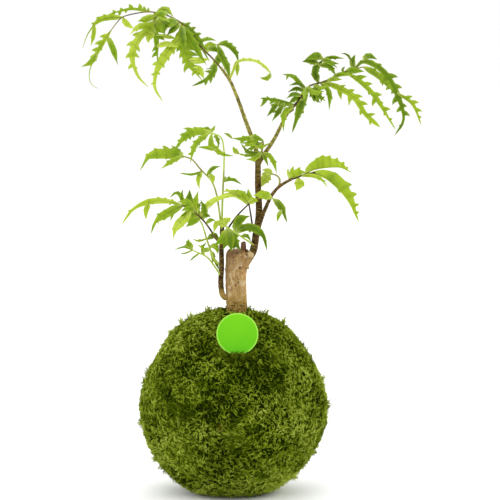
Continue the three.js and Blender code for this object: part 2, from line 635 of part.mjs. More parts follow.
function frondSolid(frond, seed) {
  const random = seededRandom(seed);
  const curves = frond.stems.map((points) => {
    return new THREE.CatmullRomCurve3(points.map(place), false, 'centripetal');
  });
  const pieces = curves.map((curve) => {
    const steps = Math.round(curve.getLength() / rachisStep) + 2;
    return tubeSolid(curve.points, rachisRadii, rachisSides, steps);
  });
  for (const [line, reach, width, rollDegrees, lean = 0] of frond.leaflets) {
    const midrib = leafletCurve(curves, line, reach);
    const roll = THREE.MathUtils.degToRad(rollDegrees);
    pieces.push(bladeSolid(midrib, width, roll, lean, random));
    curves.push(midrib);
  }
  return wasm.Manifold.union(pieces);
}

// Assembly

const plant = new THREE.Group();

const trunk = trunkSolid(0);
const trunkSpace = trunkSolid(fitGap);
const tagSpace = tagSolid(fitGap);
const soil = ballSolid(soilScale, 20, 12).subtract(trunkSpace);
const soilSpace = ballSolid(soilScale + fitGap / ballRadius, 20, 12);
const moss = ballSolid(1, 30, 18).subtract(soilSpace).subtract(trunkSpace).subtract(tagSpace);

addMesh(plant, 'moss_wrap', moss, colours.moss, 1);
addMesh(plant, 'soil_ball', soil, colours.soil, 1);
addMesh(plant, 'cane_trunk', trunk, colours.cane, 0.85);
addMesh(plant, 'right_shoot', shootSolid(rightShoot, 0).subtract(trunkSpace), colours.rightShoot, 0.7);
addMesh(plant, 'left_shoot', shootSolid(leftShoot, 0).subtract(trunkSpace), colours.leftShoot, 0.7);
addMesh(plant, 'label_tag', tagSolid(0), colours.tag, 0.3);

const shootSpaces = {
  right: shootSolid(rightShoot, fitGap),
  left: shootSolid(leftShoot, fitGap),
};
shootSpaces.both = shootSpaces.right.add(shootSpaces.left);

Object.entries(fronds).forEach(([name, frond], i) => {
  const colour = i % 2 ? colours.leafDark : colours.leafLight;
  addMesh(plant, name, frondSolid(frond, i + 1).subtract(shootSpaces[frond.on]), colour, 0.5);
});

export default plant;
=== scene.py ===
import bpy
import math
import random
import numpy as np
from mathutils import Vector, Matrix, noise
from mathutils.kdtree import KDTree


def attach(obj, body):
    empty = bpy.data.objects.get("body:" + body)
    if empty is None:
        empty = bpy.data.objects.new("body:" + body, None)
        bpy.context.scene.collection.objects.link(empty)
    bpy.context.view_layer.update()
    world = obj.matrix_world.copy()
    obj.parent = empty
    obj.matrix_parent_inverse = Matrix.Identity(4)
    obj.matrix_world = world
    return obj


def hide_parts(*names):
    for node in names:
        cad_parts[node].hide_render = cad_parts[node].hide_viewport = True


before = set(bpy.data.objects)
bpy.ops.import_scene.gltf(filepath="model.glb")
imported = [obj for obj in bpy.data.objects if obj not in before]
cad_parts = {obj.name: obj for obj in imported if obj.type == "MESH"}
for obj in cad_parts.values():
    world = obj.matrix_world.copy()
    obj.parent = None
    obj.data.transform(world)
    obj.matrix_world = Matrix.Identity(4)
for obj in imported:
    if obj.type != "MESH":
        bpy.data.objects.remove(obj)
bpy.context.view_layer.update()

# Fern-leaved aralia growing from a moss ball. The plant is laid out in the plane of its front
# view, in millimetres: across, up and depth (away from the front). place() turns that into metres.

mm = 0.001

layout = {
    "tilt": math.radians(8),  # the front view looks down by this much
    "edgeDrop": 3.4,  # the front edge of the foot lies this far under the origin in the picture
    "photoSize": 500,
    "mmPerPixel": 0.84,
    "ballPixel": 233,  # picture column of the plant's middle
    "footPixel": 497,  # picture row of the foot's front edge
}
viewDir = np.array([0, math.cos(layout["tilt"]), -math.sin(layout["tilt"])])


def place(point):
    across, up, depth = point
    z = (up - layout["edgeDrop"] - depth * math.sin(layout["tilt"])) / math.cos(layout["tilt"])
    return np.array([across, depth, z]) * mm


# small helpers

def deselectAll():
    bpy.ops.object.select_all(action="DESELECT")


def activate(obj):
    deselectAll()
    obj.select_set(True)
    bpy.context.view_layer.objects.active = obj


def startEditing(obj):
    activate(obj)
    bpy.ops.object.mode_set(mode="EDIT")
    bpy.ops.mesh.select_all(action="SELECT")


def stopEditing():
    # turns all faces outward on the way out
    bpy.ops.mesh.select_all(action="SELECT")
    bpy.ops.mesh.normals_make_consistent(inside=False)
    bpy.ops.object.mode_set(mode="OBJECT")


def editFacesTowards(obj, direction):
    # edit mode, with only the faces selected that look this way
    startEditing(obj)
    bpy.ops.mesh.select_mode(type="FACE")
    bpy.ops.mesh.select_all(action="DESELECT")
    bpy.ops.object.mode_set(mode="OBJECT")
    for polygon in obj.data.polygons:
        polygon.select = polygon.normal.dot(direction) > 0.9
    bpy.ops.object.mode_set(mode="EDIT")


def applyModifier(obj, name, kind, **settings):
    activate(obj)
    modifier = obj.modifiers.new(name, kind)
    for key, value in settings.items():
        setattr(modifier, key, value)
    bpy.ops.object.modifier_apply(modifier=name)


def fuse(obj, voxel, smoothing):
    applyModifier(obj, "fuse", "REMESH", mode="VOXEL", voxel_size=voxel * mm)
    applyModifier(obj, "settle", "SMOOTH", factor=0.5, iterations=smoothing)


def joinParts(name, parts):
    deselectAll()
    for part in parts:
        part.select_set(True)
    bpy.context.view_layer.objects.active = parts[0]
    if len(parts) > 1:
        bpy.ops.object.join()
    joined = bpy.context.object
    joined.name = joined.data.name = name
    return joined


def applyPlace(obj):
    activate(obj)
    bpy.ops.object.transform_apply(location=True, rotation=True, scale=True)


def smoothByAngle(obj, degrees):
    activate(obj)
    bpy.ops.object.shade_smooth_by_angle(angle=math.radians(degrees))


def readPoints(obj, what="co"):  # or "normal"
    values = np.empty(len(obj.data.vertices) * 3)
    obj.data.vertices.foreach_get(what, values)
    return values.reshape(-1, 3)


def writePoints(obj, points):
    obj.data.vertices.foreach_set("co", points.ravel())
    obj.data.update()


def setAttribute(obj, name, values):
    attribute = obj.data.attributes.get(name) or obj.data.attributes.new(name, "FLOAT", "POINT")
    attribute.data.foreach_set("value", np.broadcast_to(values, len(obj.data.vertices)).astype(float))


def finishPiece(obj, material, slotName, *nodes):
    obj.data.materials.clear()
    obj.data.materials.append(material)
    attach(obj, "root")
    if nodes:
        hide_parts(*nodes)
    print("piece", obj.name, len(obj.data.polygons), "faces")


# lines through points

def lineThrough(points, perSpan=16):
    # centripetal Catmull-Rom, as the plant's solids use
    ends = [2 * points[0] - points[1], *points, 2 * points[-1] - points[-2]]
    shares = np.arange(perSpan)[:, None] / perSpan
    spans = []
    for p0, p1, p2, p3 in zip(ends, ends[1:], ends[2:], ends[3:]):
        d0, d1, d2 = (np.linalg.norm(b - a) ** 0.5 for a, b in ((p0, p1), (p1, p2), (p2, p3)))
        m1 = ((p1 - p0) / d0 - (p2 - p0) / (d0 + d1) + (p2 - p1) / d1) * d1
        m2 = ((p2 - p1) / d1 - (p3 - p1) / (d1 + d2) + (p3 - p2) / d2) * d1
        cubic = 2 * p1 - 2 * p2 + m1 + m2
        square = 3 * p2 - 3 * p1 - 2 * m1 - m2
        spans.append(p1 + shares * (m1 + shares * (square + shares * cubic)))
    return np.vstack([*spans, points[-1]])


def lineLength(line):
    return np.linalg.norm(np.diff(line, axis=0), axis=1).sum()


def pointsAlong(line, shares):
    steps = np.linalg.norm(np.diff(line, axis=0), axis=1)
    reached = np.concatenate([[0], np.cumsum(steps)]) / steps.sum()
    return np.stack([np.interp(shares, reached, line[:, i]) for i in range(3)], axis=-1)


def unit(vectors):
    return vectors / np.maximum(np.linalg.norm(vectors, axis=-1, keepdims=True), 1e-9)


def addTube(name, points, radii, bevel):
    data = bpy.data.curves.new(name, "CURVE")
    data.dimensions = "3D"
    data.bevel_depth = 1
    data.bevel_resolution = bevel
    data.use_fill_caps = True
    spline = data.splines.new("POLY")
    spline.points.add(len(points) - 1)
    for spot, point, radius in zip(spline.points, points, radii):
        spot.co = (*point, 1)
        spot.radius = radius
    tube = bpy.data.objects.new(name, data)
    bpy.context.scene.collection.objects.link(tube)
    activate(tube)
    bpy.ops.object.convert(target="MESH")
    tube = bpy.context.object
    startEditing(tube)
    bpy.ops.mesh.remove_doubles(threshold=0.001 * mm)  # joins the end caps to the wall
    stopEditing()
    return tube


# material helpers; colours are given as red, green and blue up to 255

def srgb(colour):
    channels = [c / 255 for c in colour]
    return (*[c / 12.92 if c < 0.04045 else ((c + 0.055) / 1.055) ** 2.4 for c in channels], 1)


class Look:
    # one procedural material and the few node kinds that it needs

    def __init__(self, name, roughness, specular=0.5):
        self.material = bpy.data.materials.new(name)
        self.material.use_nodes = True
        self.tree = self.material.node_tree
        self.shader = self.tree.nodes["Principled BSDF"]
        self.set(self.shader, "Roughness", roughness)
        self.set(self.shader, "Specular IOR Level", specular)
        self.coords = self.tree.nodes.new("ShaderNodeTexCoord").outputs["Object"]

    def set(self, node, key, value):
        socket = node.inputs[key]
        if isinstance(value, bpy.types.NodeSocket):
            self.tree.links.new(value, socket)
        else:
            socket.default_value = value

    def node(self, kind, **inputs):
        made = self.tree.nodes.new(kind)
        for key, value in inputs.items():
            self.set(made, key, value)
        return made

    def attribute(self, name):
        made = self.tree.nodes.new("ShaderNodeAttribute")
        made.attribute_name = name
        return made.outputs["Fac"]

    def axis(self, name):
        return self.node("ShaderNodeSeparateXYZ", Vector=self.coords).outputs[name]

    def scaled(self, x, y, z):
        return self.node("ShaderNodeMapping", Vector=self.coords, Scale=(x, y, z)).outputs["Vector"]

    def noise(self, scale, detail=3, roughness=0.55, vector=None, distortion=0):
        return self.node("ShaderNodeTexNoise", Vector=vector or self.coords, Scale=scale, Detail=detail,
                         Roughness=roughness, Distortion=distortion).outputs["Fac"]

    def math(self, operation, first, second):
        made = self.tree.nodes.new("ShaderNodeMath")
        made.operation = operation
        self.set(made, 0, first)
        self.set(made, 1, second)
        return made.outputs[0]

    def spread(self, value, low, high, toLow=0.0, toHigh=1.0):
        made = self.tree.nodes.new("ShaderNodeMapRange")
        for i, number in enumerate((value, low, high, toLow, toHigh)):
            self.set(made, i, number)
        return made.outputs["Result"]

    def zone(self, axis, ends):
        # from 0 to 1 between two places on an axis, given in millimetres
        return self.spread(axis, ends[0] * mm, ends[1] * mm)

    def ramp(self, factor, stops):
        made = self.tree.nodes.new("ShaderNodeValToRGB")
        elements = made.color_ramp.elements
        while len(elements) < len(stops):
            elements.new(0.5)
        for element, (position, colour) in zip(elements, stops):
            element.position = position
            element.color = srgb(colour)
        self.set(made, "Fac", factor)
        return made.outputs["Color"]

    def mix(self, factor, first, second, blend="MIX"):
        made = self.tree.nodes.new("ShaderNodeMix")
        made.data_type = "RGBA"
        made.blend_type = blend
        for i, value in ((0, factor), (6, first), (7, second)):
            self.set(made, i, value)
        return made.outputs[2]

    def over(self, colour, where, tint, amount=1, blend="MIX"):
        # lays a tint over the colour; where is 0 to 1
        share = where if amount == 1 else self.math("MULTIPLY", where, amount)
        return self.mix(share, colour, srgb(tint), blend)

    def bump(self, height, strength, distance):
        made = self.node("ShaderNodeBump", Height=height, Strength=strength, Distance=distance)
        self.set(self.shader, "Normal", made.outputs["Normal"])

    def finish(self, colour):
        self.set(self.shader, "Base Color", colour)
        return self.material


# wood: the cane trunk and its two shoots

trunk = {
    "stations": [  # height, radius, sideways shift
        (98, 5.2, 2.4), (112, 6.8, 2.6), (140, 8.2, 2.9), (150, 8.6, 3.0), (158, 8.6, 2.9), (172, 8.6, 2.7),
        (186, 8.8, 2.6), (196, 9.4, 3.2), (203, 9.9, 3.7), (206, 8.6, 4.0),
    ],
    "ringStep": 2.0,
    "sides": 40,
    "ripple": {"depth": 0.35, "waves": 3, "turnPerMm": 0.13},
    "limbs": {  # points along the limb, then its radii
        "stub": ([(8.4, 0, 198), (8.6, 0, 205), (8.9, -0.2, 210), (8.6, -0.2, 213)], (3.2, 2.6, 2.4, 2.0)),
        "shoulder": ([(6.4, 0, 189), (9.6, 0, 195), (12.8, 0, 199.6), (15.2, 0, 203.4)],
                     (4.6, 4.5, 4.1, 3.6)),
        "knob": ([(13.4, -1, 200.6), (15.5, -3.8, 204.2)], (3.1, 2.8)),
        "peel": ([(6.4, -7.8, 195.6), (10.2, -6.4, 193.2), (13.6, -3.6, 191)], (1.3, 1.3, 0.5)),
    },
    "limbPoints": 16,
    "limbBevel": 6,
    "voxel": 0.66,
    "smoothing": 4,
    "grains": [((0.55, 0.55, 0.09), 0.42), ((1.5, 1.5, 0.35), 0.2)],  # noise scale, depth
    "crust": {"scale": 0.5, "heights": (155, 168, 188, 205), "depths": (0.7, 0, 0, 0.8)},
    "dimples": [  # across, height, radius, depth
        (4.5, 179.6, 1.2, 0.9), (2.2, 177.5, 1.1, 0.9), (5.8, 192.2, 1.3, 1.0), (11.7, 206, 1.5, 2.4),
        (11.6, 203, 1.0, 1.2),
    ],
    "scars": [(190.5, 0.5), (176, 0.22), (161, 0.4)],  # rings left by old leaves: height, rise
    "scarHalf": 0.9,
    "scarWander": (1.2, 0.5),  # mm up and down, waves across
    "knobPale": (4.4, 1.2),  # reach from the knob's tip, and over how many mm it fades
    "zones": {  # where each tint starts to show, and where it's full
        # painted side light: the trunk's right side turns a warmer, deeper yellow-brown
        "flank": (3, 11),  # across; the others are heights
        "raggedTop": (186, 207),
        "cutStub": (204.5, 208.5),
        "lower": (172, 162),
        "nearMoss": (168, 158),
        "fibres": (170, 160),
    },
    "tints": {
        "grain": [(0.25, (122, 92, 54)), (0.45, (172, 142, 94)), (0.62, (196, 170, 122)),
                  (0.8, (212, 192, 150))],
        "patches": [(0.35, (190, 160, 110)), (0.65, (255, 250, 240))],
        # painted side light for the trunk's right side
        "flank": (178, 140, 76),
        "blotches": (224, 208, 176),
        "cracks": (116, 84, 48),
        "flecks": (98, 68, 40),
        "raggedTop": (106, 72, 48),
        "cutStub": [(0.3, (82, 54, 36)), (0.7, (138, 102, 74))],
        "lower": (186, 152, 66),
        "nearMoss": (112, 90, 36),
        "fibres": (78, 56, 14),
        "knob": (208, 184, 136),
        "pits": (84, 54, 28),
    },
}


def trunkProfile(height):
    heights, radii, shifts = zip(*trunk["stations"])
    return np.interp(height, heights, radii), np.interp(height, heights, shifts)


def makeTrunk():
    lowest, highest = trunk["stations"][0][0], trunk["stations"][-1][0]
    rings = np.arange(lowest, highest + 0.1, trunk["ringStep"])  # with the last one
    radius, shift = trunkProfile(rings[0])
    deselectAll()
    bpy.ops.mesh.primitive_circle_add(vertices=trunk["sides"], radius=radius * mm, fill_type="NGON",
                                      location=(shift * mm, 0, rings[0] * mm))
    cane = bpy.context.object
    startEditing(cane)
    for low, high in zip(rings, rings[1:]):
        (before, shiftBefore), (after, shiftAfter) = trunkProfile(low), trunkProfile(high)
        move = Vector((shiftAfter - shiftBefore, 0, high - low)) * mm
        bpy.ops.mesh.extrude_region_move(TRANSFORM_OT_translate={"value": move})
        bpy.ops.transform.resize(value=[after / before] * 3, center_override=(shiftAfter * mm, 0, high * mm))
    stopEditing()
    applyPlace(cane)
    points = readPoints(cane)
    heights = points[:, 2] / mm
    angle = np.arctan2(points[:, 1], points[:, 0] - trunkProfile(heights)[1] * mm)
    ripple = trunk["ripple"]
    wave = ripple["depth"] * np.sin(ripple["waves"] * angle + heights * ripple["turnPerMm"]) * mm
    points[:, 0] += wave * np.cos(angle)
    points[:, 1] += wave * np.sin(angle)
    writePoints(cane, points)
    parts = [cane]
    shares = np.linspace(0, 1, trunk["limbPoints"])
    for key, (path, ends) in trunk["limbs"].items():
        line = lineThrough([np.array(point) * mm for point in path])
        radii = np.interp(shares, np.linspace(0, 1, len(path)), ends) * mm
        parts.append(addTube(key, pointsAlong(line, shares), radii, trunk["limbBevel"]))
    cane = joinParts("caneTrunk", parts)
    fuse(cane, trunk["voxel"], trunk["smoothing"])
    shapeBark(cane)
    smoothByAngle(cane, 60)
    finishPiece(cane, caneLook(), "cane", "cane_trunk")


def shapeBark(cane):
    points, normals = readPoints(cane), readPoints(cane, "normal")
    spots = points / mm
    crust = trunk["crust"]
    depth = np.zeros(len(spots))
    for i, spot in enumerate(spots):
        depth[i] = sum(deep * noise.noise(Vector(spot * scale)) for scale, deep in trunk["grains"])
        rough = max(0, noise.noise(Vector(spot * crust["scale"])))
        depth[i] += rough * np.interp(spot[2], crust["heights"], crust["depths"])
    pits = np.zeros(len(spots))
    for across, height, radius, sink in trunk["dimples"]:
        near = np.hypot(spots[:, 0] - across, spots[:, 2] - height) / radius
        pit = np.where(spots[:, 1] < 0, np.exp(-near ** 2), 0)
        depth -= sink * pit
        pits = np.maximum(pits, pit)
    wander, waves = trunk["scarWander"]
    for height, rise in trunk["scars"]:
        middle = height + wander * np.sin(spots[:, 0] * waves + height)
        depth += rise * np.exp(-((spots[:, 2] - middle) / trunk["scarHalf"]) ** 2)
    writePoints(cane, points + normals * depth[:, None] * mm)
    knobPath, _ = trunk["limbs"]["knob"]
    reach, fade = trunk["knobPale"]
    away = np.linalg.norm(spots - knobPath[-1], axis=1)
    setAttribute(cane, "pale", np.clip((reach - away) / fade, 0, 1))
    setAttribute(cane, "pit", pits)


def caneLook():
    look = Look("caneBark", 0.82, 0.2)
    tints, zones = trunk["tints"], trunk["zones"]
    height = look.axis("Z")
    grain = look.noise(1.0, 5, 0.65, look.scaled(900, 900, 110))
    patches = look.ramp(look.noise(160, 3, 0.6), tints["patches"])
    colour = look.mix(0.6, look.ramp(grain, tints["grain"]), patches, "MULTIPLY")
    # painted side light: the right side of the trunk turns a warmer, deeper yellow-brown
    colour = look.over(colour, look.zone(look.axis("X"), zones["flank"]), tints["flank"], 0.5)
    blotches = look.spread(look.noise(230, 4, 0.65, distortion=0.6), 0.54, 0.66)
    colour = look.over(colour, blotches, tints["blotches"], 0.55)
    cracks = look.spread(look.noise(1.0, 3, 0.6, look.scaled(190, 190, 1300)), 0.58, 0.7)
    colour = look.over(colour, cracks, tints["cracks"], 0.5)
    flecks = look.spread(look.noise(1.0, 2, 0.5, look.scaled(420, 420, 260)), 0.66, 0.74)
    colour = look.over(colour, flecks, tints["flecks"])
    ragged = look.spread(look.noise(260, 4, 0.7), 0.38, 0.6)
    ragged = look.math("MULTIPLY", look.zone(height, zones["raggedTop"]), ragged)
    colour = look.over(colour, ragged, tints["raggedTop"])
    cutStub = look.ramp(grain, tints["cutStub"])
    colour = look.mix(look.zone(height, zones["cutStub"]), colour, cutStub)
    colour = look.over(colour, look.zone(height, zones["lower"]), tints["lower"], 0.6)
    colour = look.over(colour, look.zone(height, zones["nearMoss"]), tints["nearMoss"], 0.25)
    fibres = look.spread(look.noise(1.0, 4, 0.7, look.scaled(420, 420, 620), distortion=1.2), 0.45, 0.57)
    fibres = look.math("MULTIPLY", look.zone(height, zones["fibres"]), fibres)
    colour = look.over(colour, fibres, tints["fibres"])
    colour = look.over(colour, look.attribute("pale"), tints["knob"], 0.85)
    colour = look.over(colour, look.spread(look.attribute("pit"), 0.25, 0.75), tints["pits"], 0.75)
    look.bump(look.noise(1.0, 6, 0.7, look.scaled(1800, 1800, 420)), 0.7, 0.0007)
    return look.finish(colour)


shoots = {
    "rightShoot": {
        "node": "right_shoot",
        "branches": [  # points along the wood, then the radius at each end
            ([(13.4, 200.8, 0), (16.8, 206.4, 0), (19.3, 220, 1), (21.8, 237, 2), (21, 262, 3), (21, 284, 4)],
             3.3, 2.4),
            ([(21, 280, 4), (19.3, 291.5, 5), (10.9, 315, 9), (1.7, 340.2, 14), (-3.4, 351, 16),
              (-10.1, 360.4, 18)],
             2.0, 1.2),
            ([(21.5, 280, 4), (27.7, 289.8, 0), (35.3, 301.6, -4), (45.4, 320.9, -9), (50.4, 325.1, -11)],
             1.9, 1.2),
            ([(22, 228, 1), (26, 239.4, -3), (32.8, 253.7, -9), (38.6, 260.4, -12), (49.6, 267.1, -16)],
             1.8, 1.2),
        ],
    },
    "leftShoot": {
        "node": "left_shoot",
        "branches": [
            ([(-1, 167, 0), (-8, 168.6, -3), (-10.2, 179.5, -4), (-9.5, 193.5, -4), (-9.7, 206, -4),
              (-9.2, 220, -3), (-9.2, 231, -3)],
             2.5, 1.9),
        ],
    },
}
bark = {
    "step": 1.2,  # mm between the points along a branch
    "bevel": 4,
    "voxel": 0.44,
    "smoothing": 3,
    "ringSpacing": 2.8,
    "ringRise": 0.2,
    "ringHalf": 0.13,  # as a share of the spacing
    "swell": {"scale": 0.35, "shift": 1.1, "rise": 0.1},  # broad noise that also shifts the rings
    "grain": {"scale": 1.4, "rise": 0.16},
    "zones": {"young": (262, 302), "elbow": (175.5, 169)},  # heights
    "tints": {
        "old": [(0.15, (28, 16, 1)), (0.5, (56, 37, 8)), (0.9, (108, 80, 36))],
        "young": [(0.1, (70, 66, 20)), (0.5, (122, 118, 48)), (0.9, (178, 172, 92))],
        "elbow": (168, 138, 74),
        "rings": (142, 122, 66),
        "spots": (168, 142, 92),
    },
}


def makeShoot(name, shoot, look):
    parts, samples, reached = [], [], []
    for i, (points, startRadius, endRadius) in enumerate(shoot["branches"]):
        line = lineThrough([place(point) for point in points])
        shares = np.linspace(0, 1, int(lineLength(line) / mm / bark["step"]))
        radii = np.interp(shares, (0, 1), (startRadius, endRadius)) * mm
        spots = pointsAlong(line, shares)
        parts.append(addTube(f"{name}{i}", spots, radii, bark["bevel"]))
        samples += list(spots)
        reached += list(shares * lineLength(line) / mm)
    wood = joinParts(name, parts)
    fuse(wood, bark["voxel"], bark["smoothing"])
    tree = KDTree(len(samples))
    for i, spot in enumerate(samples):
        tree.insert(spot, i)
    tree.balance()
    points, normals = readPoints(wood), readPoints(wood, "normal")
    swell, grain = bark["swell"], bark["grain"]
    ring = np.zeros(len(points))
    for i, point in enumerate(points):
        spot = point / mm
        wander = noise.noise(Vector(spot * swell["scale"]))
        phase = (reached[tree.find(point)[1]] + swell["shift"] * wander) / bark["ringSpacing"] % 1
        ring[i] = bark["ringRise"] * math.exp(-((phase - 0.5) / bark["ringHalf"]) ** 2)
        ring[i] += grain["rise"] * noise.noise(Vector(spot * grain["scale"])) + swell["rise"] * wander
    writePoints(wood, points + normals * ring[:, None] * mm)
    setAttribute(wood, "ring", np.clip(ring / bark["ringRise"], 0, 1))
    smoothByAngle(wood, 60)
    finishPiece(wood, look, "shoot", shoot["node"])


def shootLook():
    look = Look("shootBark", 0.6, 0.06)
    tints, zones = bark["tints"], bark["zones"]
    height = look.axis("Z")
    age = look.math("ADD", height, look.spread(look.noise(90, 3), 0, 1, -0.02, 0.02))
    old = look.ramp(look.spread(look.noise(420, 4, 0.6), 0.3, 0.7), tints["old"])
    young = look.ramp(look.spread(look.noise(300, 4, 0.6), 0.3, 0.7), tints["young"])
    colour = look.mix(look.zone(age, zones["young"]), old, young)
    colour = look.over(colour, look.zone(height, zones["elbow"]), tints["elbow"])
    colour = look.over(colour, look.attribute("ring"), tints["rings"], 0.5)
    spots = look.spread(look.noise(1.0, 1, 0.5, look.scaled(700, 700, 1100)), 0.64, 0.72)
    colour = look.over(colour, spots, tints["spots"], 0.5)
    look.bump(look.noise(1600, 4, 0.6), 0.4, 0.0005)
    return look.finish(colour)
